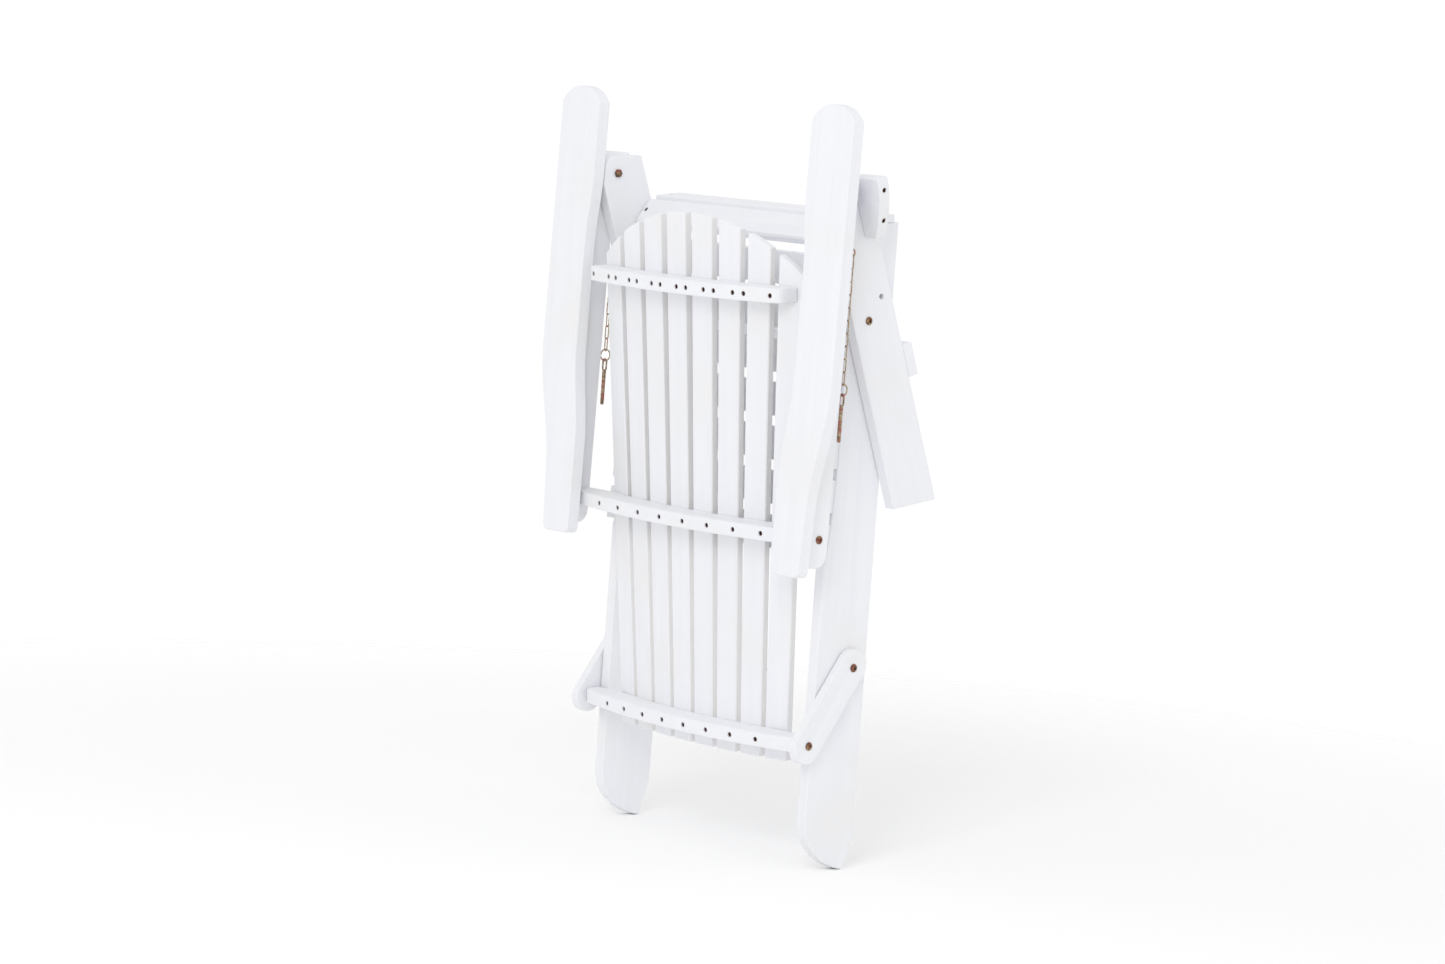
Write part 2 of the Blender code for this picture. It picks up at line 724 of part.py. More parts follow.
def hollow(x):
    """How far the panel has curved towards the seat at a distance from its middle."""
    return BACK_RADIUS - math.sqrt(BACK_RADIUS ** 2 - x ** 2)


def slat_centre(index, u):
    place = index - 0.5 * (BACK_SLAT_COUNT - 1)
    return place * (BACK_PITCH_AT_PIVOT + BACK_PITCH_GROWTH * u)


def arch_height(x):
    drop = BACK_ARCH_RADIUS - math.sqrt(BACK_ARCH_RADIUS ** 2 - x ** 2)
    return BACK_HEAD_U - drop


def slat_half_width(u):
    ratio = (u - BACK_FOOT_U) / (BACK_HEAD_U - BACK_FOOT_U)
    width = BACK_SLAT_WIDTH_FOOT + (BACK_SLAT_WIDTH_HEAD - BACK_SLAT_WIDTH_FOOT) * ratio
    return 0.5 * width


def back_slat_shape(index):
    """One slat: a flat tapered board, square to the curve, with its top on the arch."""
    foot_x = slat_centre(index, BACK_FOOT_U)
    head_x = slat_centre(index, BACK_HEAD_U)
    turn = math.asin(0.5 * (foot_x + head_x) / BACK_RADIUS)
    outline = [(-1.0, BACK_FOOT_U), (1.0, BACK_FOOT_U)]
    for step in range(5):
        across = 1.0 - 0.5 * step
        top_x = head_x + across * slat_half_width(BACK_HEAD_U) * math.cos(turn)
        outline.append((across, arch_height(top_x)))

    def place(across, u, depth):
        ratio = (u - BACK_FOOT_U) / (BACK_HEAD_U - BACK_FOOT_U)
        middle = foot_x + (head_x - foot_x) * ratio
        middle_d = BACK_REAR_D + hollow(foot_x) + (hollow(head_x) - hollow(foot_x)) * ratio
        reach = across * slat_half_width(u)
        x = middle + reach * math.cos(turn) - depth * math.sin(turn)
        d = middle_d + reach * math.sin(turn) + depth * math.cos(turn)
        y, z = back_point(d, u)
        return x, y, z

    return make_prism(outline, 0.0, BACK_SLAT_THICKNESS, place)


def batten_outline(half_length, radius, deepest):
    """x and d round a batten: bowed rear edge, front edge that follows the slats."""
    steps = 12
    rear = []
    front = []
    for step in range(steps + 1):
        x = half_length * (2.0 * step / steps - 1.0)
        rear.append((x, BATTEN_FRONT_D + radius - math.sqrt(radius ** 2 - x ** 2)))
        front.append((-x, min(BACK_REAR_D + hollow(x) - 0.0008, deepest)))
    outline = round_corner(front[-1], rear[0], rear[1], BATTEN_CORNER, 3)
    outline += rear[1:-1]
    outline += round_corner(rear[-2], rear[-1], front[0], BATTEN_CORNER, 3)
    outline += front
    return outline


def batten_screw_places(name, height):
    """x of the screws through a batten: one a slat, and pairs in the upper one's inner slats."""
    places = []
    for index in range(BACK_SLAT_COUNT):
        x = slat_centre(index, height)
        if name == "back_batten_upper" and 0 < index < BACK_SLAT_COUNT - 1:
            places += [x - PAIR_HALF_SPACING, x + PAIR_HALF_SPACING]
        else:
            places.append(x)
    return places


for index in range(BACK_SLAT_COUNT):
    name = "back_slat_%d" % (index + 1)
    slat = add_piece(name, back_slat_shape(index), painted_wood(name), BACK_FRAME)
    ease_edges(slat, BACK_SLAT_CHAMFER)

for name, (height, half_length, radius, deepest) in BATTENS.items():
    def batten_place(x, d, c, height=height):
        y, z = back_point(d, height + c)
        return x, y, z

    batten = add_piece(
        name,
        make_prism(
            batten_outline(half_length, radius, deepest),
            -0.5 * BATTEN_HEIGHT, 0.5 * BATTEN_HEIGHT, batten_place
        ),
        painted_wood(name), BACK_FRAME,
    )
    ease_edges(batten)
    batten_screws = []
    for x in batten_screw_places(name, height):
        rise = math.sqrt(radius ** 2 - x ** 2)
        y, z = back_point(BATTEN_FRONT_D + radius - rise, height)
        out_y = -rise * math.cos(BACK_ANGLE)
        out_z = -rise * math.sin(BACK_ANGLE)
        batten_screws.append(((x, y, z), (x, out_y, out_z)))
    sink_screws(batten, BACK_FRAME, batten_screws)
    bore = {"back_batten_lower": BACK_BORE, "back_batten_middle": REAR_ARM_BORE}.get(name)
    if bore:
        for side_name in SIDES:
            drill(batten, bore[side_name])


# Bolts: domed heads outside, cap nuts inside, or a plain end where the bolt stops in a board

def bolt_profile(inner, outer, with_nut):
    """Distance from the chair's middle and radius, from the inner end to the head."""
    profile = []
    if with_nut:
        nut_face = inner - GAP
        profile += [
            (nut_face - NUT_HEIGHT, 0.6 * NUT_RADIUS),
            (nut_face - 0.6 * NUT_HEIGHT, NUT_RADIUS),
            (nut_face, NUT_RADIUS),
            (nut_face, BOLT_RADIUS),
        ]
    else:
        profile.append((inner, BOLT_RADIUS))
    head_face = outer + GAP
    profile += [
        (head_face, BOLT_RADIUS),
        (head_face, HEAD_RADIUS),
        (head_face + 0.45 * HEAD_HEIGHT, 0.92 * HEAD_RADIUS),
        (head_face + 0.85 * HEAD_HEIGHT, 0.60 * HEAD_RADIUS),
        (head_face + HEAD_HEIGHT, 0.25 * HEAD_RADIUS),
    ]
    return profile


RAIL_INNER_X = SEAT_HALF_WIDTH - BOARD
# name: centre, inner end, outer face, cap nut or not, frame
BOLTS = {
    "leg_bolt": (LEG_PIVOT, RAIL_INNER_X, LEG_OUTER_X, True, SEAT_FRAME),
    "link_bolt": (LINK_PIVOT, RAIL_INNER_X, LINK_OUTER_X, True, SEAT_FRAME),
    "back_bolt": (
        BACK_PIVOT, SEAT_HALF_WIDTH - LAG_LENGTH + GAP, LINK_OUTER_X, False, LINK_FRAME
    ),
    "rear_arm_bolt": (
        ARM_PIVOT, ARM_RAIL_INNER_X - LAG_LENGTH + GAP, ARM_RAIL_OUTER_X, False, BACK_FRAME
    ),
    "front_arm_bolt": (
        ARM_BOLT_PLACE, ARM_RAIL_INNER_X, ARM_RAIL_OUTER_X, False, ARM_FRAME
    ),
}

for bolt_name, (centre, inner, outer, with_nut, frame) in BOLTS.items():
    for side_name, side in SIDES.items():
        name = bolt_name + "_" + side_name
        shape = turned(bolt_profile(inner, outer, with_nut), centre, side)
        add_piece(name, shape, plated_steel(name), frame, smooth=True)

for side_name, side in SIDES.items():
    nut_face = LEG_INNER_X - GAP
    profile = (
        (nut_face - NUT_HEIGHT, 0.6 * NUT_RADIUS),
        (nut_face - 0.6 * NUT_HEIGHT, NUT_RADIUS),
        (nut_face, NUT_RADIUS),
    )
    name = "front_arm_nut_" + side_name
    shape = turned(profile, ARM_BOLT_PLACE, side)
    add_piece(name, shape, plated_steel(name), LEG_FRAME, smooth=True)


# Lock pins: a screw eye in each leg, a chain, a ring and a pin with an eyed head

def wire_loop(shape, path, radius, sides):
    """Add a closed wire along a loop of points."""
    count = len(path)
    rings = []
    centre = sum(path, Vector()) / count
    normal = (path[1] - path[0]).cross(path[2] - path[1]).normalized()
    for index, point in enumerate(path):
        tangent = (path[(index + 1) % count] - path[index - 1]).normalized()
        out = tangent.cross(normal).normalized()
        ring = []
        for step in range(sides):
            angle = 2.0 * math.pi * step / sides
            ring.append(shape.verts.new(
                point + out * (radius * math.cos(angle)) + normal * (radius * math.sin(angle))
            ))
        rings.append(ring)
    for index in range(count):
        first = rings[index]
        second = rings[(index + 1) % count]
        for step in range(sides):
            after = (step + 1) % sides
            shape.faces.new((first[step], first[after], second[after], second[step]))


def oblong(centre, half_length, half_width, across, corner_steps=4):
    """Points of an upright oblong loop; across is the direction of its width."""
    path = []
    straight = half_length - half_width
    for end, start in ((1.0, 0.0), (-1.0, 180.0)):
        for step in range(corner_steps + 1):
            angle = math.radians(start + 180.0 * step / corner_steps)
            path.append(
                centre + across * (half_width * math.cos(angle))
                + Vector((0.0, 0.0, end * straight + half_width * math.sin(angle)))
            )
    return path


def chain_shape(side):
    """Links turned a quarter to each other, each resting in the next."""
    x = side * CHAIN_X
    y, top = CHAIN_TOP
    loops = []
    for index in range(CHAIN_LINKS):
        across = Y_AXIS if index % 2 == 0 else X_AXIS
        upper = top - index * CHAIN_PITCH + LINK_OVERLAP
        lower = top - (index + 1) * CHAIN_PITCH - LINK_OVERLAP
        if index == 0:
            upper = top + EYE_WIRE + CHAIN_WIRE + 2.0 * GAP
        loop = bmesh.new()
        middle = Vector((x, y, 0.5 * (upper + lower)))
        path = oblong(middle, 0.5 * (upper - lower), CHAIN_LINK_HALF_WIDTH, across)
        wire_loop(loop, path, CHAIN_WIRE, 6)
        loops.append(loop)
    return loops


def unite(piece, other, name):
    """Make a hidden helper piece one body with another."""
    other.hide_render = True
    other.display_type = "WIRE"
    union = piece.modifiers.new(name, "BOOLEAN")
    union.operation = "UNION"
    union.solver = "EXACT"
    union.object = other


def join_loops(name, loops, material, frame):
    """Union a row of touching loops into one closed body."""
    first = add_piece(name, loops[0], material, frame)
    for index, loop in enumerate(loops[1:]):
        link = add_piece(name + "_link_%d" % (index + 2), loop, material, frame)
        unite(first, link, "link")
    return first


CHAIN_END_Z = CHAIN_TOP[1] - CHAIN_LINKS * CHAIN_PITCH
RING_TOP_Z = CHAIN_END_Z - LINK_OVERLAP + CHAIN_WIRE + RING_WIRE + 2.0 * GAP
RING_CENTRE_Z = RING_TOP_Z - RING_RADIUS
PIN_EYE_TOP_Z = RING_CENTRE_Z - RING_RADIUS + RING_WIRE + PIN_EYE_WIRE + 2.0 * GAP
PIN_EYE_Z = PIN_EYE_TOP_Z - PIN_EYE_HALF_LENGTH

for side_name, side in SIDES.items():
    x = side * CHAIN_X
    y = CHAIN_TOP[0]
    eye_centre = Vector((x, y, CHAIN_TOP[1] + EYE_RADIUS))
    eye = bmesh.new()
    wire_loop(eye, circle_path(eye_centre, EYE_RADIUS, X_AXIS, Z_AXIS, 14), EYE_WIRE, 6)
    screw_eye = add_piece(
        "screw_eye_" + side_name, eye, plated_steel("screw_eye_" + side_name), LEG_FRAME,
        smooth=True,
    )
    shank = turned(
        ((LEG_OUTER_X - 0.011, EYE_WIRE), (CHAIN_X - EYE_RADIUS, EYE_WIRE)),
        (y, eye_centre[2]), side, 6,
    )
    shank_piece = add_piece(
        "eye_shank_" + side_name, shank, plated_steel("eye_shank_" + side_name), LEG_FRAME
    )
    unite(screw_eye, shank_piece, "shank")

    frame = CHAIN_FRAMES[side_name]
    join_loops(
        "pin_chain_" + side_name, chain_shape(side), plated_steel("pin_chain_" + side_name), frame
    )

    ring = bmesh.new()
    ring_centre = Vector((x, y, RING_CENTRE_Z))
    wire_loop(ring, circle_path(ring_centre, RING_RADIUS, Y_AXIS, Z_AXIS, 20), RING_WIRE, 6)
    add_piece(
        "pin_ring_" + side_name, ring, plated_steel("pin_ring_" + side_name), frame, smooth=True
    )

    pin_eye = bmesh.new()
    pin_eye_centre = Vector((x, y, PIN_EYE_Z))
    pin_eye_path = oblong(pin_eye_centre, PIN_EYE_HALF_LENGTH, PIN_EYE_HALF_WIDTH, X_AXIS)
    wire_loop(pin_eye, pin_eye_path, PIN_EYE_WIRE, 6)
    pin_name = "lock_pin_" + side_name
    pin = add_piece(pin_name, pin_eye, plated_steel(pin_name), frame, smooth=True)
    pin_rod = bmesh.new()
    rod_rings = []
    rod_top = PIN_EYE_Z - PIN_EYE_HALF_LENGTH + PIN_SINK
    for drop, share in PIN_PROFILE:
        ring_path = circle_path(
            Vector((x, y, rod_top - drop)), share * PIN_RADIUS, X_AXIS, Y_AXIS, BOLT_SIDES
        )
        rod_rings.append([pin_rod.verts.new(point) for point in ring_path])
    for first, second in zip(rod_rings, rod_rings[1:]):
        for step in range(BOLT_SIDES):
            after = (step + 1) % BOLT_SIDES
            pin_rod.faces.new((first[step], first[after], second[after], second[step]))
    pin_rod.faces.new(rod_rings[0])
    pin_rod.faces.new(rod_rings[-1])
    rod = add_piece("pin_rod_" + side_name, pin_rod, plated_steel("pin_rod_" + side_name), frame)
    unite(pin, rod, "rod")
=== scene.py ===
"""The looks of a folded, white-painted folding garden armchair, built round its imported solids.

Lengths are in millimetres in the piece sections and turned to metres where a mesh is made.
X runs across the chair, Z up along its side rails, and the back panel's rear side faces -Y.
"""

import math

import bpy
import numpy as np
from mathutils import Matrix, Vector


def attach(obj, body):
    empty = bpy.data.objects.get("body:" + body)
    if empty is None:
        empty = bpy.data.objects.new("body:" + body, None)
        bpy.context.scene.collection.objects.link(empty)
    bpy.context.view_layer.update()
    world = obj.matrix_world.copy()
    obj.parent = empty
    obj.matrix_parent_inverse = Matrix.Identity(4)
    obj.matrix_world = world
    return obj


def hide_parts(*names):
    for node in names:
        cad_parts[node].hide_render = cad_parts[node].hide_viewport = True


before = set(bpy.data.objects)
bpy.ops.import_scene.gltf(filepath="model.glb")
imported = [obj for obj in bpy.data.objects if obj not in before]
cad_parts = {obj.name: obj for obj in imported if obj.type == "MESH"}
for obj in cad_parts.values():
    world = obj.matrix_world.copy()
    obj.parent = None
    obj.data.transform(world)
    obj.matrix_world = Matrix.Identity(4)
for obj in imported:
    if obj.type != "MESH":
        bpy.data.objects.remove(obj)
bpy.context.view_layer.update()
MM = 0.001


# ---------------------------------------------------------------------------------------------
# Studio: a white sweep of floor that fades into a white room, a large soft key from the front
# right, a weak fill from the left, and a long lens with a slight roll.

def linear(hex_colour):
    """An sRGB hex colour as linear RGBA: each channel undone by the sRGB curve."""
    channels = [int(hex_colour[start:start + 2], 16) / 255.0 for start in (0, 2, 4)]
    curve = [c / 12.92 if c <= 0.04045 else ((c + 0.055) / 1.055) ** 2.4 for c in channels]
    return (*curve, 1.0)


def add_node(tree, kind, settings, links=()):
    """Add a node; settings are properties or input values, links pair its inputs with sockets."""
    node = tree.nodes.new(kind)
    for key, value in settings.items():
        if isinstance(key, int) or key in node.inputs:
            node.inputs[key].default_value = value
        else:
            setattr(node, key, value)
    for key, socket in dict(links).items():
        tree.links.new(socket, node.inputs[key])
    return node


scene = bpy.context.scene
scene.view_settings.view_transform = "Standard"
scene.view_settings.look = "None"

ROOM_LIGHT = 0.89        # strength of the white walls as they light the chair
ROOM_SEEN = 1.02         # their strength as the camera sees them, just past white
world = bpy.data.worlds.new("white_room")
world.use_nodes = True
walls = world.node_tree.nodes["Background"]
walls.inputs["Color"].default_value = linear("FFFFFF")
seen = add_node(world.node_tree, "ShaderNodeLightPath", {})
level = add_node(
    world.node_tree, "ShaderNodeMapRange", {"To Min": ROOM_LIGHT, "To Max": ROOM_SEEN},
    {"Value": seen.outputs["Is Camera Ray"]},
)
world.node_tree.links.new(level.outputs["Result"], walls.inputs["Strength"])
scene.world = world

FLOOR_RADIUS = 3400 * MM
FLOOR_RINGS = 17
FLOOR_SPOKES = 96
FLOOR_FADE = (700 * MM, 3000 * MM)
FLOOR_WHITE = "FDFDFD"
ring_radius, ring_angle = np.meshgrid(
    np.linspace(0.0, FLOOR_RADIUS, FLOOR_RINGS + 1)[1:],
    np.linspace(0.0, 2.0 * np.pi, FLOOR_SPOKES, endpoint=False), indexing="ij",
)
floor_points = np.stack(
    (ring_radius * np.cos(ring_angle), ring_radius * np.sin(ring_angle), 0.0 * ring_radius), -1
).reshape(-1, 3)
floor_rows, floor_columns = ring_radius.shape
index_grid = np.arange(floor_rows * floor_columns).reshape(floor_rows, floor_columns)
next_column = np.roll(index_grid, -1, axis=1)
floor_quads = np.stack(
    (index_grid[:-1], index_grid[1:], next_column[1:], next_column[:-1]), -1
).reshape(-1, 4)
floor_mesh = bpy.data.meshes.new("floor")
floor_mesh.from_pydata(
    floor_points.tolist(), [], floor_quads.tolist() + [index_grid[0].tolist()]
)
floor = bpy.data.objects.new("floor", floor_mesh)
scene.collection.objects.link(floor)

floor_paint = bpy.data.materials.new("matt_white_studio_floor")
floor_paint.use_nodes = True
tree = floor_paint.node_tree
tree.nodes.clear()
place = add_node(tree, "ShaderNodeTexCoord", {})
distance = add_node(
    tree, "ShaderNodeVectorMath", {"operation": "LENGTH"}, {0: place.outputs["Object"]}
)
fade = add_node(
    tree, "ShaderNodeMapRange",
    {"interpolation_type": "SMOOTHSTEP", "From Min": FLOOR_FADE[0], "From Max": FLOOR_FADE[1]},
    {"Value": distance.outputs["Value"]},
)
matt = add_node(tree, "ShaderNodeBsdfDiffuse", {"Color": linear(FLOOR_WHITE), "Roughness": 0.6})
clear = add_node(tree, "ShaderNodeBsdfTransparent", {})
blend = add_node(
    tree, "ShaderNodeMixShader", {},
    {0: fade.outputs["Result"], 1: matt.outputs["BSDF"], 2: clear.outputs["BSDF"]},
)
add_node(tree, "ShaderNodeOutputMaterial", {}, {"Surface": blend.outputs["Shader"]})
floor_mesh.materials.append(floor_paint)

# name: place, what it points at and edge length in metres, power in watts
SOFT_BOXES = {
    "key_front_right": ((2.6, -3.4, 2.6), (0.1, 0.0, 0.6), 1.6, 32.0),
    "fill_front_left": ((-3.2, -2.6, 1.8), (0.0, 0.0, 0.6), 2.2, 3.0),
}
for name, (spot, target, edge, power) in SOFT_BOXES.items():
    lamp = bpy.data.lights.new(name, "AREA")
    lamp.shape = "SQUARE"
    lamp.size = edge
    lamp.energy = power
    lamp_object = bpy.data.objects.new(name, lamp)
    lamp_object.location = spot
    lamp_object.rotation_mode = "QUATERNION"
    aim = Vector(target) - Vector(spot)
    lamp_object.rotation_quaternion = aim.to_track_quat("-Z", "Y")
    scene.collection.objects.link(lamp_object)

CAMERA_AZIMUTH = math.radians(50.838)
CAMERA_ELEVATION = math.radians(4.78)
CAMERA_ROLL = math.radians(4.179)
CAMERA_DISTANCE = 7128 * MM
CAMERA_TARGET = Vector((0.0, -25.9 * MM, 558.0 * MM))
CAMERA_LENS = 116.13     # mm, of focal length
CAMERA_FILM = 36.0       # mm, its width
camera_back = Vector((
    math.sin(CAMERA_AZIMUTH) * math.cos(CAMERA_ELEVATION),
    -math.cos(CAMERA_AZIMUTH) * math.cos(CAMERA_ELEVATION),
    math.sin(CAMERA_ELEVATION),
))
level_right = Vector((math.cos(CAMERA_AZIMUTH), math.sin(CAMERA_AZIMUTH), 0.0))
level_up = camera_back.cross(level_right)
camera_right = level_right * math.cos(CAMERA_ROLL) + level_up * math.sin(CAMERA_ROLL)
camera_up = level_up * math.cos(CAMERA_ROLL) - level_right * math.sin(CAMERA_ROLL)
lens = bpy.data.cameras.new("camera")
lens.sensor_width = CAMERA_FILM
lens.lens = CAMERA_LENS
camera = bpy.data.objects.new("camera", lens)
turn = Matrix((camera_right, camera_up, camera_back)).transposed().to_4x4()
camera.matrix_world = Matrix.Translation(CAMERA_TARGET + camera_back * CAMERA_DISTANCE) @ turn
scene.collection.objects.link(camera)
scene.camera = camera


# ---------------------------------------------------------------------------------------------
# Side rails: two fir boards on edge, sawn, eased and sprayed with white acrylic enamel before
# the chair was put together. The satin film shows a little of the grain that runs along them.

ENAMEL_WHITE = "F3F4F8"
ENAMEL_SHADE = "EBECF2"
ENAMEL_THIN = "F0F0F0"
GRAIN_WIDTH = 2.6        # mm between growth lines
GRAIN_STRETCH = 0.03     # their width over their length
FIGURE_WIDTH = 16.0      # mm, broad bands of the same grain
SPRAY_SIZE = 1.1         # mm, orange peel of the sprayed film, drawn coarser than it is
CLOUD_SIZE = 140.0       # mm, uneven thickness of the film
RIDGE_HEIGHT = 0.10      # mm, of the grain under the film
PEEL_HEIGHT = 0.05       # mm


def white_enamel(name, grain, tilt=0.0, edge_shade_and_thin_coat=None):
    """Satin acrylic enamel on fir: cool white, faint grain ridges, warmer where it is thin.

    grain is the axis the boards run along, X or Z, and tilt turns it about X, in degrees.
    edge_shade_and_thin_coat is the colour of faces that point along X, if they have one: painted
    shade together with the thinner coat on those sawn edges.
    """
    material = bpy.data.materials.new(name)
    material.use_nodes = True
    tree = material.node_tree
    shader = tree.nodes["Principled BSDF"]
    shader.inputs["IOR"].default_value = 1.49
    place = add_node(tree, "ShaderNodeTexCoord", {})
    stretch = (GRAIN_STRETCH, 1.0, 1.0) if grain == "X" else (1.0, 1.0, GRAIN_STRETCH)
    turned = add_node(
        tree, "ShaderNodeMapping", {"Rotation": (math.radians(tilt), 0.0, 0.0)},
        {"Vector": place.outputs["Object"]},
    )
    along = add_node(
        tree, "ShaderNodeMapping", {"Scale": stretch}, {"Vector": turned.outputs["Vector"]}
    )
    lines = add_node(
        tree, "ShaderNodeTexNoise",
        {"Scale": 1.0 / (GRAIN_WIDTH * MM), "Detail": 3.0, "Roughness": 0.6, "Distortion": 0.3},
        {"Vector": along.outputs["Vector"]},
    )
    figure = add_node(
        tree, "ShaderNodeTexNoise",
        {"Scale": 1.0 / (FIGURE_WIDTH * MM), "Detail": 2.0, "Roughness": 0.5, "Distortion": 0.8},
        {"Vector": along.outputs["Vector"]},
    )
    peel = add_node(
        tree, "ShaderNodeTexNoise", {"Scale": 1.0 / (SPRAY_SIZE * MM), "Detail": 1.0},
        {"Vector": place.outputs["Object"]},
    )
    cloud = add_node(
        tree, "ShaderNodeTexNoise", {"Scale": 1.0 / (CLOUD_SIZE * MM), "Detail": 2.0},
        {"Vector": place.outputs["Object"]},
    )
    grain_mix = add_node(
        tree, "ShaderNodeMath", {"operation": "MULTIPLY_ADD", 1: 0.55},
        {0: lines.outputs["Fac"], 2: figure.outputs["Fac"]},
    )
    grain_mask = add_node(
        tree, "ShaderNodeMapRange",
        {"From Min": 0.62, "From Max": 1.0, "To Max": 0.4},
        {"Value": grain_mix.outputs["Value"]},
    )
    body_colour = add_node(
        tree, "ShaderNodeMix",
        {"data_type": "RGBA", 6: linear(ENAMEL_WHITE), 7: linear(ENAMEL_SHADE)},
        {0: grain_mask.outputs["Result"]},
    )
    thin_mask = add_node(
        tree, "ShaderNodeMapRange",
        {"From Min": 0.48, "From Max": 0.70, "To Max": 0.8},
        {"Value": cloud.outputs["Fac"]},
    )
    colour = add_node(
        tree, "ShaderNodeMix", {"data_type": "RGBA", 7: linear(ENAMEL_THIN)},
        {0: thin_mask.outputs["Result"], 6: body_colour.outputs[2]},
    )
    # Faces that point along X are painted darker: painted shade, together with the thinner coat on
    # the sawn edges.
    if edge_shade_and_thin_coat:
        facing = add_node(
            tree, "ShaderNodeSeparateXYZ", {}, {"Vector": place.outputs["Normal"]}
        )
        sideways = add_node(
            tree, "ShaderNodeMath", {"operation": "ABSOLUTE"}, {0: facing.outputs["X"]}
        )
        edge_shade_and_coat_mask = add_node(
            tree, "ShaderNodeMapRange", {"From Min": 0.6, "From Max": 0.9},
            {"Value": sideways.outputs["Value"]},
        )
        colour = add_node(
            tree, "ShaderNodeMix", {"data_type": "RGBA", 7: linear(edge_shade_and_thin_coat)},
            {0: edge_shade_and_coat_mask.outputs["Result"], 6: colour.outputs[2]},
        )
    tree.links.new(colour.outputs[2], shader.inputs["Base Color"])
    gloss = add_node(
        tree, "ShaderNodeMapRange", {"To Min": 0.40, "To Max": 0.58},
        {"Value": lines.outputs["Fac"]},
    )
    tree.links.new(gloss.outputs["Result"], shader.inputs["Roughness"])
    ridges = add_node(
        tree, "ShaderNodeBump", {"Strength": 0.22, "Distance": RIDGE_HEIGHT * MM},
        {"Height": grain_mix.outputs["Value"]},
    )
    skin = add_node(
        tree, "ShaderNodeBump", {"Strength": 0.20, "Distance": PEEL_HEIGHT * MM},
        {"Height": peel.outputs["Fac"], "Normal": ridges.outputs["Normal"]},
    )
    tree.links.new(skin.outputs["Normal"], shader.inputs["Normal"])
    return material


def paint(material, *nodes):
    """Give CAD nodes a material."""
    for node in nodes:
        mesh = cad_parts[node].data
        mesh.materials.clear()
        mesh.materials.append(material)


paint(white_enamel("enamel_on_side_rails", "Z"), "side_rail_left", "side_rail_right")


# ---------------------------------------------------------------------------------------------
# Seat: seven straight fir slats, a tilted front slat and an apron, each screwed down across
# the side rails. Their grain runs across the chair.

SEAT_SLATS = ["seat_slat_%d" % number for number in range(1, 8)]
paint(white_enamel("enamel_on_seat_slats", "X"), "seat_front_slat", "seat_apron", *SEAT_SLATS)


# ---------------------------------------------------------------------------------------------
# Front legs: two boards turned back against the side rails, tied by a stretcher behind them,
# with a bellied corbel screwed to each to hold up the front of the arm.

LEG_TILT = 21.1
paint(
    white_enamel("enamel_on_front_legs", "Z", -LEG_TILT),
    "front_leg_left", "front_leg_right", "arm_corbel_left", "arm_corbel_right",
)
paint(white_enamel("enamel_on_stretcher", "X"), "leg_stretcher")


# ---------------------------------------------------------------------------------------------
# Links: two short round-ended plates, sawn from thinner fir than the rails and enamelled alike.
# Each turns on a bolt through its side rail, and the foot of the back is bolted to its end.

LINK_TILT = 33.0
paint(white_enamel("enamel_on_links", "Z", LINK_TILT), "back_link_left", "back_link_right")


# ---------------------------------------------------------------------------------------------
# Back: eight thin slats, fanned and set round a shallow hollow, on the front of three battens
# that are bandsawn to the same curve and lie across the rear. Their edges, which point along X,
# are painted darker: painted shade together with the thinner coat they took.

BACK_TILT = 5.9
BACK_SLATS = ["back_slat_%d" % number for number in range(1, 9)]
BATTENS = ["back_batten_lower", "back_batten_middle", "back_batten_upper"]
# Painted shade on the slats' edges that point along X, together with their thinner coat.
SLAT_EDGE_SHADE_AND_THIN_COAT = "ECEBEB"
paint(white_enamel("enamel_on_back_slats", "Z", -BACK_TILT, SLAT_EDGE_SHADE_AND_THIN_COAT), *BACK_SLATS)
paint(white_enamel("enamel_on_battens", "X"), *BATTENS)


# ---------------------------------------------------------------------------------------------
# Arms: wide shaped fir boards with round noses, enamelled like the rest. Each is fixed along a
# rail that stands on edge under it, and the rail turns on a bolt at either end.

ARM_TILT = 1.0
paint(white_enamel("enamel_on_arms", "Z", -ARM_TILT), "arm_left", "arm_right")
paint(white_enamel("enamel_on_arm_rails", "Z", -ARM_TILT), "arm_rail_left", "arm_rail_right")


# ---------------------------------------------------------------------------------------------
# Screws: countersunk cross-head wood screws of browned steel, driven to the bottom of round
# pockets through the battens, slats, corbels, stretcher and apron.

SCREW_HEAD_RADIUS = 3.5
SCREW_HEAD_CROWN = 0.35
SCREW_HEAD_EDGE = 1.2    # depth of its rim
SCREW_SPIN = 0.9         # radians from one screw's cross to the next one's
CROSS_ARM = 2.1
CROSS_HALF_WIDTH = 0.45
CROSS_DEPTH = 0.9
CROSS_TURN = 0.13        # radians from the cross to the nearest column of the head's grid
PATCH_SIZE = 1.43        # mm, of the patches where the coat is thin
POCKET_DEPTH = 3.0
GAP = 0.3                # between pieces that touch
CENTRE_Y = 31.2865       # mm from the seat edge of the rails to the middle of the folded chair
SIDES = {"left": -1.0, "right": 1.0}


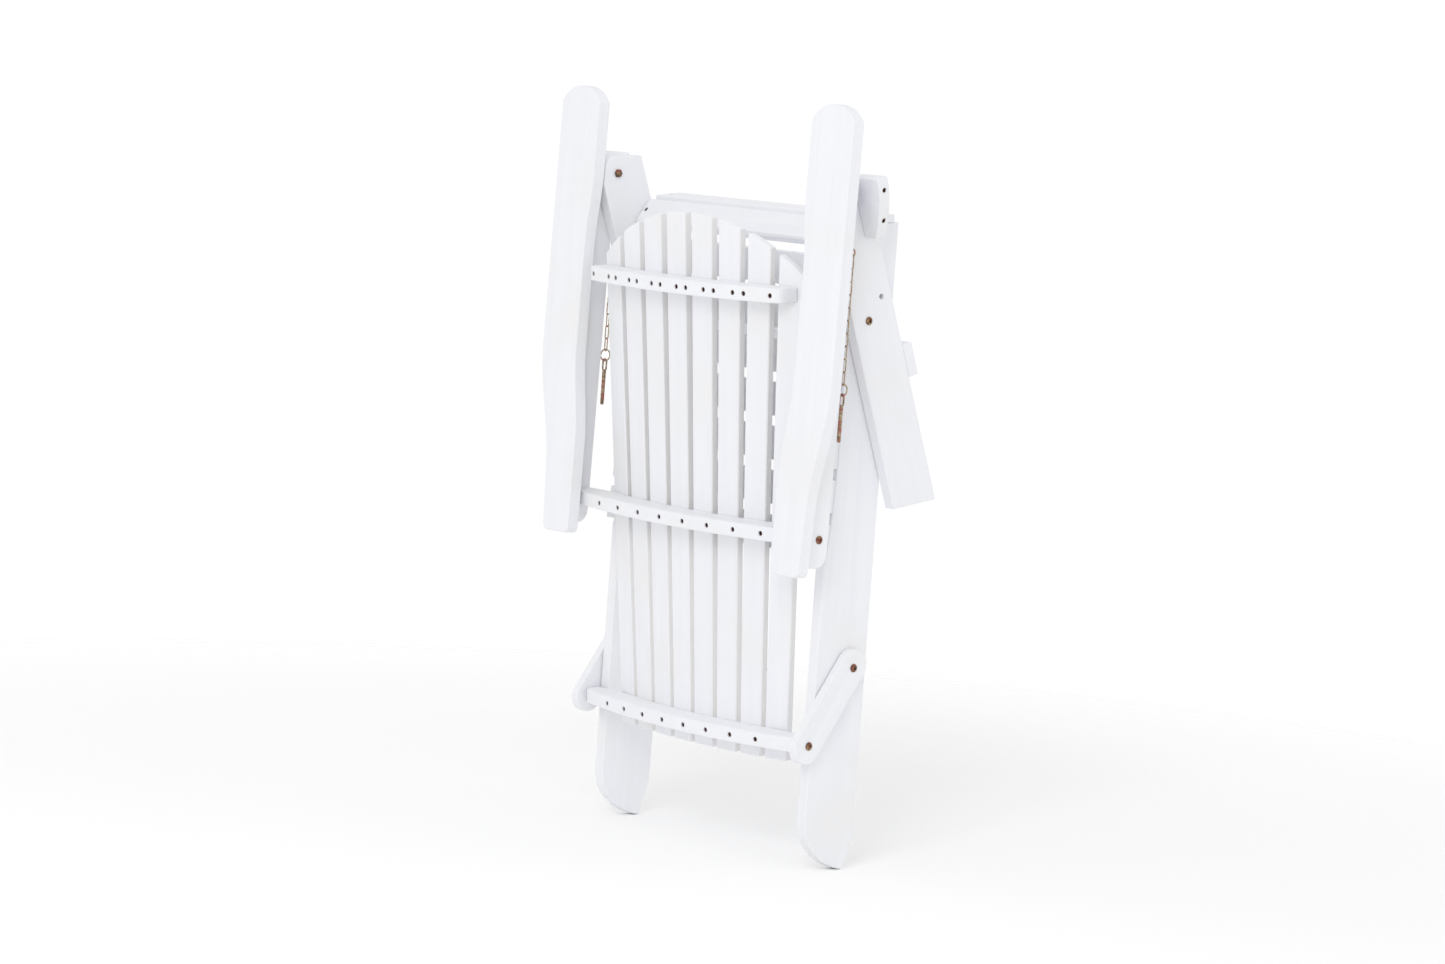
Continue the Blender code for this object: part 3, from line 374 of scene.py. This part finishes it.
def browned_steel(name):
    """Phosphated steel screws: near black, brown where the coat is thin, hardly glossy."""
    material = bpy.data.materials.new(name)
    material.use_nodes = True
    tree = material.node_tree
    shader = tree.nodes["Principled BSDF"]
    shader.inputs["Metallic"].default_value = 1.0
    place = add_node(tree, "ShaderNodeTexCoord", {})
    patches = add_node(
        tree, "ShaderNodeTexNoise", {"Scale": 1.0 / (PATCH_SIZE * MM), "Detail": 3.0},
        {"Vector": place.outputs["Object"]},
    )
    colour = add_node(
        tree, "ShaderNodeMix",
        {"data_type": "RGBA", 6: linear("2E2522"), 7: linear("6E4F44")},
        {0: patches.outputs["Fac"]},
    )
    tree.links.new(colour.outputs[2], shader.inputs["Base Color"])
    gloss = add_node(
        tree, "ShaderNodeMapRange", {"To Min": 0.38, "To Max": 0.62},
        {"Value": patches.outputs["Fac"]},
    )
    tree.links.new(gloss.outputs["Result"], shader.inputs["Roughness"])
    return material


def make_piece(name, points, faces, material, smooth=True):
    """A mesh object at the origin from points in metres and faces, in the scene."""
    mesh = bpy.data.meshes.new(name)
    mesh.from_pydata(points.tolist(), [], faces)
    if smooth:
        mesh.shade_smooth()
        mesh.set_sharp_from_angle(angle=math.radians(40.0))
    mesh.materials.append(material)
    piece = bpy.data.objects.new(name, mesh)
    scene.collection.objects.link(piece)
    return piece


def dome_mesh(radii, angles, heights):
    """A round cap on a polar grid: points at each radius and angle stand at a given height.

    radii run outwards from a single centre point; heights has a row for each radius.
    """
    rows, columns = len(radii), len(angles)
    flat_x = np.outer(radii, np.cos(angles))
    flat_y = np.outer(radii, np.sin(angles))
    rim = np.stack((flat_x, flat_y, heights), -1).reshape(-1, 3)
    centre = np.array([[0.0, 0.0, float(heights[0].mean())]])
    grid = np.arange(rows * columns).reshape(rows, columns)
    around = np.roll(grid, -1, axis=1)
    quads = np.stack((grid[:-1], grid[1:], around[1:], around[:-1]), -1).reshape(-1, 4).tolist()
    fan = np.stack((np.full(columns, rows * columns), grid[0], around[0]), -1).tolist()
    base = [list(reversed(grid[-1].tolist()))]
    return np.vstack((rim, centre)), quads + fan + base


def basis(out):
    """Three unit rows: two across a direction and the direction itself."""
    out = np.asarray(out, float)
    out = out / np.linalg.norm(out)
    helper = np.array([0.0, 0.0, 1.0]) if abs(out[2]) < 0.9 else np.array([1.0, 0.0, 0.0])
    across = np.cross(helper, out)
    across = across / np.linalg.norm(across)
    return np.stack((across, np.cross(out, across), out))


def screw_head():
    """A low crown less a cross: height falls by the cross's depth inside either of its arms."""
    rim = SCREW_HEAD_RADIUS
    radii = np.array([0.3, 0.45, 0.7, 1.1, 1.6, 2.0, 2.2, 2.6, 3.0, 3.3, rim, rim])
    angles = np.linspace(0.0, 2.0 * np.pi, 32, endpoint=False) + CROSS_TURN
    x = np.outer(radii, np.cos(angles))
    y = np.outer(radii, np.sin(angles))
    crown = SCREW_HEAD_CROWN * (1.0 - (radii / SCREW_HEAD_RADIUS) ** 2)[:, None] + 0.0 * x
    near = np.minimum(np.abs(x), np.abs(y))
    inside = (near < CROSS_HALF_WIDTH) & (np.hypot(x, y) < CROSS_ARM)
    heights = crown - CROSS_DEPTH * inside
    heights[-1] = -SCREW_HEAD_EDGE
    return dome_mesh(radii, angles, heights)


def scatter(shape, spots):
    """Copies of a shape, in millimetres, at points with directions, as one mesh in metres."""
    points, faces = shape
    all_points = []
    all_faces = []
    for number, (spot, out) in enumerate(spots):
        spin = SCREW_SPIN * number
        turn = np.array([
            [math.cos(spin), math.sin(spin), 0.0], [-math.sin(spin), math.cos(spin), 0.0],
            [0.0, 0.0, 1.0],
        ])
        all_points.append((points @ turn @ basis(out) + np.asarray(spot)) * MM)
        shift = number * len(points)
        all_faces += [[corner + shift for corner in face] for face in faces]
    return np.vstack(all_points), all_faces


def tilted(pivot, angle, across, along, downward):
    """Depth and height of a point of a board: across and along it from a pivot."""
    sine, cosine = math.sin(math.radians(angle)), math.cos(math.radians(angle))
    if downward:
        return pivot[0] + across * cosine + along * sine, pivot[1] + across * sine - along * cosine
    return pivot[0] + across * cosine - along * sine, pivot[1] + across * sine + along * cosine


def in_pocket(x, y, z, out):
    """A screw's place at the bottom of its pocket, and its direction."""
    out = np.asarray(out, float) / np.linalg.norm(out)
    return np.array([x, y - CENTRE_Y, z]) - out * (POCKET_DEPTH - SCREW_HEAD_EDGE), out


BACK_PIVOT = (-17.8, 193.0)
BATTEN_FRONT = -42.0
BACK_SLAT_PITCH = 52.3   # at the foot of the back
BACK_PITCH_GROWTH = 0.01364          # of the pitch for each millimetre of height
PAIR_HALF_SPACING = 10.9 # of the two screws in each slat of the upper batten
# height up the back, radius of the rear edge
BATTEN_FORMS = {
    "back_batten_lower": (0.0, 1150.0),
    "back_batten_middle": (314.2, 1300.0),
    "back_batten_upper": (670.0, 1050.0),
}
browned = browned_steel("browned_steel_screws")
head = screw_head()
back_tilt = math.radians(BACK_TILT)
from_middle = np.arange(len(BACK_SLATS)) - 0.5 * (len(BACK_SLATS) - 1)
for batten, (height, radius) in BATTEN_FORMS.items():
    places = from_middle * (BACK_SLAT_PITCH + BACK_PITCH_GROWTH * height)
    if batten == "back_batten_upper":
        pairs = places[1:-1, None] + np.array([-PAIR_HALF_SPACING, PAIR_HALF_SPACING])
        places = np.concatenate((places[:1], pairs.ravel(), places[-1:]))
    spots = []
    for x in places:
        rise = math.sqrt(radius ** 2 - x ** 2)
        y, z = tilted(BACK_PIVOT, BACK_TILT, BATTEN_FRONT + radius - rise, height, False)
        out = (x, -rise * math.cos(back_tilt), -rise * math.sin(back_tilt))
        spots.append(in_pocket(x, y, z, out))
    screws = make_piece("screws_" + batten, *scatter(head, spots), browned)
    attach(screws, "back")


def face_middle(node, towards):
    """The middle of a slat's widest face on one side, and the direction that it faces."""
    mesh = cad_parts[node].data
    normals = np.empty(len(mesh.polygons) * 3)
    areas = np.empty(len(mesh.polygons))
    centres = np.empty(len(mesh.polygons) * 3)
    mesh.polygons.foreach_get("normal", normals)
    mesh.polygons.foreach_get("area", areas)
    mesh.polygons.foreach_get("center", centres)
    normals = normals.reshape(-1, 3)
    centres = centres.reshape(-1, 3)
    best = np.argmax(np.where(normals @ np.array(towards) > 0.5, areas, 0.0))
    out = normals[best]
    same = (normals @ out > 0.999) & (np.abs((centres - centres[best]) @ out) < 0.1 * MM)
    corner_ids = np.concatenate([mesh.polygons[int(i)].vertices for i in np.flatnonzero(same)])
    corners = np.array([mesh.vertices[int(i)].co for i in corner_ids])
    middle = 0.5 * (corners.min(0) + corners.max(0))
    return middle / MM, out


SLAT_SCREW_X = 250.0
spots = []
outward = dict.fromkeys(SEAT_SLATS + ["seat_front_slat"], (0.0, -1.0, 0.0))
outward["seat_apron"] = (0.0, 0.0, 1.0)
for slat, towards in outward.items():
    middle, out = face_middle(slat, towards)
    for side in SIDES.values():
        spots.append(in_pocket(side * SLAT_SCREW_X, middle[1] + CENTRE_Y, middle[2], out))
screws = make_piece("screws_seat", *scatter(head, spots), browned)
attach(screws, "seat_frame")

BOARD = 20.0             # thickness of rails, legs and corbels
SEAT_HALF_WIDTH = 260.0  # to the outer face of a side rail
LEG_SIDE_GAP = 1.0
LEG_INNER_X = SEAT_HALF_WIDTH + LEG_SIDE_GAP
LEG_OUTER_X = LEG_INNER_X + BOARD
LEG_PIVOT = (33.0, 829.4)
LEG_REAR = 52.9          # from the pivot to the leg's rear edge
CORBEL_SCREWS = (-196.0, -148.0)     # along the leg from its pivot
CORBEL_TOP = -215.0
CORBEL_LENGTH = 94.0
CORBEL_TOP_REACH = 58.0  # how far out it stands at its top
CORBEL_TAPER = 33.0
CORBEL_FACE = 25.6
STRETCHER_START = 58.4
STRETCHER_WIDTH = 50.6
STRETCHER_THICKNESS = 18.0
leg_tilt = math.radians(LEG_TILT)
spots = []
for side in SIDES.values():
    for along in CORBEL_SCREWS:
        reach = CORBEL_TOP_REACH - CORBEL_TAPER * ((along - CORBEL_TOP) / CORBEL_LENGTH) ** 1.8
        y, z = tilted(LEG_PIVOT, LEG_TILT, CORBEL_FACE + 0.5 * BOARD, along, True)
        spots.append(in_pocket(side * (LEG_OUTER_X + reach), y, z, (side, 0.0, 0.0)))
    for share in (0.25, 0.75):
        across = LEG_REAR + GAP + STRETCHER_THICKNESS
        along = STRETCHER_START + share * STRETCHER_WIDTH
        y, z = tilted(LEG_PIVOT, LEG_TILT, across, along, True)
        out = (0.0, math.cos(leg_tilt), math.sin(leg_tilt))
        spots.append(in_pocket(side * (LEG_OUTER_X - 0.5 * BOARD), y, z, out))
screws = make_piece("screws_front_legs", *scatter(head, spots), browned)
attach(screws, "front_legs")


# ---------------------------------------------------------------------------------------------
# Bolts: hexagon-socket furniture bolts with low round heads, a thin washer, and a cap nut
# inside where the bolt goes right through. Steel, zinc-plated and yellow-passivated.

HEAD_RADIUS = 5.8
HEAD_HEIGHT = 2.0
HEAD_SPREAD = 1.06       # radius of the dome's curve over the head's, which leaves a low edge
SOCKET_FLAT = 2.4        # from the middle to a flat
SOCKET_DEPTH = 1.7
WASHER_RADIUS = 6.3
WASHER_BORE = 4.4
WASHER_THICKNESS = 0.6
SHANK_RADIUS = 4.0
NUT_RADIUS = 6.8         # over its corners
NUT_SKIRT = 3.0          # height of the six flats
NUT_BEVEL = 0.4
NUT_DOME_RADIUS = 5.6
NUT_DOME_HEIGHT = 3.4
NUT_TIP = 0.3            # radius of the flat tip of the dome
FILM_CLOUD_SIZE = 3.85   # mm, where the passivation is darker
BLUSH_SIZE = 8.33        # mm, where it is rosy
PIT_SIZE = 0.455         # mm, dull pits in the zinc, drawn coarser than they are
PIT_DEPTH = 0.04         # mm


def passivated_zinc(name, pale, deep, rose):
    """Yellow-passivated zinc: brassy, with darker and rosy clouds where the film is thicker."""
    material = bpy.data.materials.new(name)
    material.use_nodes = True
    tree = material.node_tree
    shader = tree.nodes["Principled BSDF"]
    shader.inputs["Metallic"].default_value = 1.0
    place = add_node(tree, "ShaderNodeTexCoord", {})
    clouds = add_node(
        tree, "ShaderNodeTexNoise",
        {"Scale": 1.0 / (FILM_CLOUD_SIZE * MM), "Detail": 2.0, "Distortion": 0.6},
        {"Vector": place.outputs["Object"]},
    )
    blush = add_node(
        tree, "ShaderNodeTexNoise", {"Scale": 1.0 / (BLUSH_SIZE * MM), "Detail": 1.0},
        {"Vector": place.outputs["Object"]},
    )
    grit = add_node(
        tree, "ShaderNodeTexNoise", {"Scale": 1.0 / (PIT_SIZE * MM), "Detail": 2.0},
        {"Vector": place.outputs["Object"]},
    )
    film = add_node(
        tree, "ShaderNodeMapRange", {"From Min": 0.38, "From Max": 0.62},
        {"Value": clouds.outputs["Fac"]},
    )
    rosy = add_node(
        tree, "ShaderNodeMapRange", {"From Min": 0.48, "From Max": 0.64, "To Max": 0.8},
        {"Value": blush.outputs["Fac"]},
    )
    plated = add_node(
        tree, "ShaderNodeMix", {"data_type": "RGBA", 6: linear(pale), 7: linear(deep)},
        {0: film.outputs["Result"]},
    )
    colour = add_node(
        tree, "ShaderNodeMix", {"data_type": "RGBA", 7: linear(rose)},
        {0: rosy.outputs["Result"], 6: plated.outputs[2]},
    )
    tree.links.new(colour.outputs[2], shader.inputs["Base Color"])
    gloss = add_node(
        tree, "ShaderNodeMapRange", {"To Min": 0.18, "To Max": 0.42},
        {"Value": grit.outputs["Fac"]},
    )
    tree.links.new(gloss.outputs["Result"], shader.inputs["Roughness"])
    pits = add_node(
        tree, "ShaderNodeBump", {"Strength": 0.25, "Distance": PIT_DEPTH * MM},
        {"Height": grit.outputs["Fac"]},
    )
    tree.links.new(pits.outputs["Normal"], shader.inputs["Normal"])
    return material


def socket_head():
    """A low dome less a hexagonal socket: height falls to its floor inside six flats."""
    rim = HEAD_RADIUS
    radii = np.array([1.2, 2.1, 2.25, 2.4, 2.55, 2.7, 2.9, 3.4, 4.1, 4.8, 5.3, 5.6, rim, rim])
    angles = np.linspace(0.0, 2.0 * np.pi, 48, endpoint=False)
    sector = np.mod(angles, np.pi / 3.0) - np.pi / 6.0
    to_flat = np.outer(radii, np.cos(sector))
    dome = HEAD_HEIGHT * np.sqrt(1.0 - (radii / (HEAD_SPREAD * HEAD_RADIUS)) ** 2)
    heights = np.where(to_flat < SOCKET_FLAT, HEAD_HEIGHT - SOCKET_DEPTH, dome[:, None])
    heights[-1] = 0.0
    return dome_mesh(radii, angles, heights + WASHER_THICKNESS)


def lathe(profile, sides):
    """A closed solid turned about the third axis: profile rows hold height and radius."""
    profile = np.asarray(profile, float)
    angles = np.linspace(0.0, 2.0 * np.pi, sides, endpoint=False)
    x = np.outer(profile[:, 1], np.cos(angles))
    y = np.outer(profile[:, 1], np.sin(angles))
    z = np.repeat(profile[:, :1], sides, axis=1)
    points = np.stack((x, y, z), -1).reshape(-1, 3)
    grid = np.arange(len(points)).reshape(len(profile), sides)
    around = np.roll(grid, -1, axis=1)
    quads = np.stack((grid[:-1], around[:-1], around[1:], grid[1:]), -1).reshape(-1, 4).tolist()
    ends = [list(reversed(grid[0].tolist())), grid[-1].tolist()]
    return points, quads + ends


def combine(*shapes):
    """Several shapes as one."""
    points = []
    faces = []
    shift = 0
    for shape_points, shape_faces in shapes:
        points.append(shape_points)
        faces += [[corner + shift for corner in face] for face in shape_faces]
        shift += len(shape_points)
    return np.vstack(points), faces


def cap_nut(seat, away, sink):
    """A domed hexagon nut on the third axis: a skirt of six flats and a dome like a quarter ellipse.

    seat is where it meets the wood, away is 1 or -1 for the way it stands from there, and sink is
    how far the foot of the dome lies below the skirt's top edge.
    """
    skirt = [
        (0.0, NUT_RADIUS), (NUT_SKIRT, NUT_RADIUS), (NUT_SKIRT + 0.3, NUT_RADIUS - NUT_BEVEL),
    ]
    foot = NUT_SKIRT - sink
    dome = [(foot - 0.4, NUT_DOME_RADIUS)]
    for angle in np.linspace(0.0, 0.5 * np.pi, 6):
        radius = NUT_TIP + (NUT_DOME_RADIUS - NUT_TIP) * math.cos(angle)
        dome.append((foot + NUT_DOME_HEIGHT * math.sin(angle), radius))
    shapes = []
    for profile, sides in ((skirt, 6), (dome, 24)):
        rows = [(seat + away * height, radius) for height, radius in profile]
        shapes.append(lathe(rows[::away], sides))
    return combine(*shapes)


def bolt_shape(grip, with_nut):
    """Washer, head and shank along the third axis, with a cap nut beyond the grip if it has one."""
    washer = lathe(
        [(0.0, WASHER_BORE), (0.0, WASHER_RADIUS - 0.2), (0.2, WASHER_RADIUS),
         (WASHER_THICKNESS - 0.2, WASHER_RADIUS), (WASHER_THICKNESS, WASHER_RADIUS - 0.3),
         (WASHER_THICKNESS, WASHER_BORE)], 40,
    )
    shank = lathe([(-grip, SHANK_RADIUS - 0.5), (-grip + 0.6, SHANK_RADIUS),
                   (WASHER_THICKNESS + 0.2, SHANK_RADIUS)], 24)
    shapes = [socket_head(), washer, shank]
    if with_nut:
        shapes.append(cap_nut(-grip, -1, 0.0))
    return combine(*shapes)


LINK_PIVOT = (58.5, 309.0)
ARM_PIVOT = (-50.0, 505.3)
ARM_BOLT = (-36.96, 1012.96)
LINK_SIDE_GAP = 1.5
LINK_THICKNESS = 14.5
RAIL_INNER_X = SEAT_HALF_WIDTH - BOARD
LINK_OUTER_X = SEAT_HALF_WIDTH + LINK_SIDE_GAP + LINK_THICKNESS
ARM_RAIL_OUTER_X = LEG_OUTER_X + LEG_SIDE_GAP + BOARD
# CAD node: centre, face under the head, length under the head, cap nut or not, body
BOLTS = {
    "leg_bolt": (LEG_PIVOT, LEG_OUTER_X, LEG_OUTER_X - RAIL_INNER_X, True, "seat_frame"),
    "link_bolt": (LINK_PIVOT, LINK_OUTER_X, LINK_OUTER_X - RAIL_INNER_X, True, "seat_frame"),
    "back_bolt": (BACK_PIVOT, LINK_OUTER_X, 59.0, False, "back_links"),
    "rear_arm_bolt": (ARM_PIVOT, ARM_RAIL_OUTER_X, 63.0, False, "back"),
    "front_arm_bolt": (ARM_BOLT, ARM_RAIL_OUTER_X, 19.6, False, "arms"),
}
plated_bolts = passivated_zinc("yellow_zinc_on_bolts", "A9926E", "5E4A3C", "8E5650")
for bolt, (centre, face, grip, with_nut, body) in BOLTS.items():
    for side_name, side in SIDES.items():
        node = bolt + "_" + side_name
        spot = ((side * (face + GAP), centre[0] - CENTRE_Y, centre[1]), (side, 0.0, 0.0))
        shape = scatter(bolt_shape(grip, with_nut), [spot])
        piece = make_piece("socket_" + node, *shape, plated_bolts)
        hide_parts(node)
        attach(piece, body)

for side_name, side in SIDES.items():
    spot = (
        (side * LEG_INNER_X, ARM_BOLT[0] - CENTRE_Y, ARM_BOLT[1]), (-side, 0.0, 0.0)
    )
    shape = scatter(cap_nut(GAP, 1, 0.1), [spot])
    piece = make_piece("cap_nut_" + side_name, *shape, plated_bolts)
    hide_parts("front_arm_nut_" + side_name)
    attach(piece, "front_legs")


# ---------------------------------------------------------------------------------------------
# Lock pins: a screw eye in each leg, a light chain of long welded links, an open ring and a
# round pin with an eye, which goes through the leg and the rail to hold the chair open.

CHAIN_X = 288.8
CHAIN_TOP = (-15.0, 924.5)
LINK_COUNT = 10
LINK_PITCH = 19.07
LINK_WIRE = 0.9
LINK_OVERLAP = 0.7
LINK_HALF_WIDTH = 2.9
EYE_RADIUS = 5.0
EYE_WIRE = 1.2
EYE_SINK = 10.0          # of its shank in the leg
SHANK_BOW = 0.3481
EYE_SLACK = 0.2          # between the eye and the first link
RING_RADIUS = 9.0
RING_WIRE = 1.1
RING_START = math.radians(196.0)
RING_SWEEP = math.radians(345.0)     # the rest of the turn is its gap
RING_SLACK = 0.4         # between the ring and what hangs in it
PIN_EYE_HALF_LENGTH = 9.0
PIN_EYE_HALF_WIDTH = 3.6
PIN_EYE_WIRE = 1.4
PIN_RADIUS = 3.0
PIN_LENGTH = 54.5
# height above the point of the pin, radius
PIN_POINT = ((0.0, 1.5), (0.6, 2.3), (1.6, 2.9), (2.4, PIN_RADIUS))
# depth below the top of the pin, radius
PIN_TOP = ((2.0, PIN_RADIUS), (0.8, 2.7), (0.0, 1.8))
PIN_SINK = 0.6           # of its top in its eye
PIN_TURN = math.radians(12.0)
QUARTER_TURN = 0.5 * math.pi


def wire(path, radius, closed=True, sides=12):
    """A round wire along a path: a circle of points square to the path at each of its points."""
    path = np.asarray(path, float)
    if closed:
        tangent = np.roll(path, -1, axis=0) - np.roll(path, 1, axis=0)
    else:
        tangent = np.gradient(path, axis=0)
    tangent /= np.linalg.norm(tangent, axis=1)[:, None]
    centre = path.mean(0)
    plane = np.linalg.svd(path - centre)[2][2]
    across = np.cross(plane, tangent)
    across /= np.linalg.norm(across, axis=1)[:, None]
    up = np.cross(tangent, across)
    angles = np.linspace(0.0, 2.0 * np.pi, sides, endpoint=False)
    points = (
        path[:, None] + radius * np.cos(angles)[None, :, None] * across[:, None]
        + radius * np.sin(angles)[None, :, None] * up[:, None]
    ).reshape(-1, 3)
    grid = np.arange(len(points)).reshape(len(path), sides)
    after = np.roll(grid, -1, axis=0) if closed else grid[1:]
    first = grid if closed else grid[:-1]
    quads = np.stack(
        (first, np.roll(first, -1, axis=1), np.roll(after, -1, axis=1), after), -1
    ).reshape(-1, 4).tolist()
    if not closed:
        quads += [list(reversed(grid[0].tolist())), grid[-1].tolist()]
    return points, quads


def oblong(centre, half_length, half_width, twist):
    """A long loop: two half circles joined by straights, its width turned about the vertical."""
    bend = np.linspace(0.0, np.pi, 13)
    straight = half_length - half_width
    wide = np.concatenate((half_width * np.cos(bend), -half_width * np.cos(bend)))
    tall = np.concatenate((straight + half_width * np.sin(bend),
                           -straight - half_width * np.sin(bend)))
    return np.stack(
        (centre[0] + wide * math.cos(twist), centre[1] + wide * math.sin(twist),
         centre[2] + tall), -1
    )


def loop(centre, radius, twist, start=0.0, end=2.0 * math.pi, steps=40):
    """A circle or part of one in an upright plane turned about the vertical."""
    closed = math.isclose(end - start, 2.0 * math.pi)
    angles = np.linspace(start, end, steps, endpoint=not closed)
    return np.stack(
        (centre[0] + radius * np.cos(angles) * math.cos(twist),
         centre[1] + radius * np.cos(angles) * math.sin(twist),
         centre[2] + radius * np.sin(angles)), -1
    )


plated_chain = passivated_zinc("yellow_zinc_on_chain", "CFC0A2", "9C8A6C", "B78A78")
plated_pin = passivated_zinc("yellow_zinc_on_pins", "C4B092", "6E5E4A", "B06E66")
chain_low = CHAIN_TOP[1] - LINK_COUNT * LINK_PITCH
ring_top = chain_low - LINK_OVERLAP + LINK_WIRE + RING_WIRE + RING_SLACK
ring_middle = ring_top - RING_RADIUS
pin_eye_top = ring_middle - RING_RADIUS + RING_WIRE + PIN_EYE_WIRE + RING_SLACK
pin_eye_middle = pin_eye_top - PIN_EYE_HALF_LENGTH
for side_name, side in SIDES.items():
    x = side * CHAIN_X
    y = CHAIN_TOP[0] - CENTRE_Y
    body = "chain_" + side_name

    eye_centre = (x, y, CHAIN_TOP[1] + EYE_RADIUS)
    eye = wire(loop(eye_centre, EYE_RADIUS, 0.0), EYE_WIRE)
    # The shank bows by a third of a millimetre, because a wire lies round the plane of its path
    # and a straight one has none.
    share = np.linspace(0.0, 1.0, 60)[:, None]
    shank_start = np.array([side * (LEG_OUTER_X - EYE_SINK), y, eye_centre[2]])
    shank_end = np.array([x - side * EYE_RADIUS, y, eye_centre[2]])
    bow = np.array([0.0, SHANK_BOW, 0.0])
    shank_path = shank_start + share * (shank_end - shank_start) + share ** 2 * bow
    shank = wire(shank_path, EYE_WIRE, closed=False)
    shape = combine(eye, shank)
    piece = make_piece("threaded_eye_" + side_name, shape[0] * MM, shape[1], plated_chain)
    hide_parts("screw_eye_" + side_name)
    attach(piece, "front_legs")

    links = []
    for number in range(LINK_COUNT):
        top = CHAIN_TOP[1] - number * LINK_PITCH + LINK_OVERLAP
        bottom = CHAIN_TOP[1] - (number + 1) * LINK_PITCH - LINK_OVERLAP
        if number == 0:
            top = CHAIN_TOP[1] + EYE_WIRE + LINK_WIRE + EYE_SLACK
        twist = QUARTER_TURN * ((number + 1) % 2)
        middle = (x, y, 0.5 * (top + bottom))
        links.append(wire(oblong(middle, 0.5 * (top - bottom), LINK_HALF_WIDTH, twist), LINK_WIRE))
    shape = combine(*links)
    piece = make_piece("welded_chain_" + side_name, shape[0] * MM, shape[1], plated_chain)
    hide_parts("pin_chain_" + side_name)
    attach(piece, body)

    ring_path = loop(
        (x, y, ring_middle), RING_RADIUS, QUARTER_TURN, RING_START, RING_START + RING_SWEEP, 48
    )
    ring = wire(ring_path, RING_WIRE, closed=False)
    piece = make_piece("open_ring_" + side_name, ring[0] * MM, ring[1], plated_chain)
    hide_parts("pin_ring_" + side_name)
    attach(piece, body)

    pin_eye_path = oblong(
        (x, y, pin_eye_middle), PIN_EYE_HALF_LENGTH, PIN_EYE_HALF_WIDTH, PIN_TURN
    )
    pin_eye = wire(pin_eye_path, PIN_EYE_WIRE)
    pin_top = pin_eye_middle - PIN_EYE_HALF_LENGTH + PIN_SINK
    profile = [(pin_top - PIN_LENGTH + height, radius) for height, radius in PIN_POINT]
    profile += [(pin_top - depth, radius) for depth, radius in PIN_TOP]
    rod = lathe(profile, 24)
    rod = (rod[0] + np.array([x, y, 0.0]), rod[1])
    shape = combine(pin_eye, rod)
    piece = make_piece("eyed_pin_" + side_name, shape[0] * MM, shape[1], plated_pin)
    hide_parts("lock_pin_" + side_name)
    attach(piece, body)
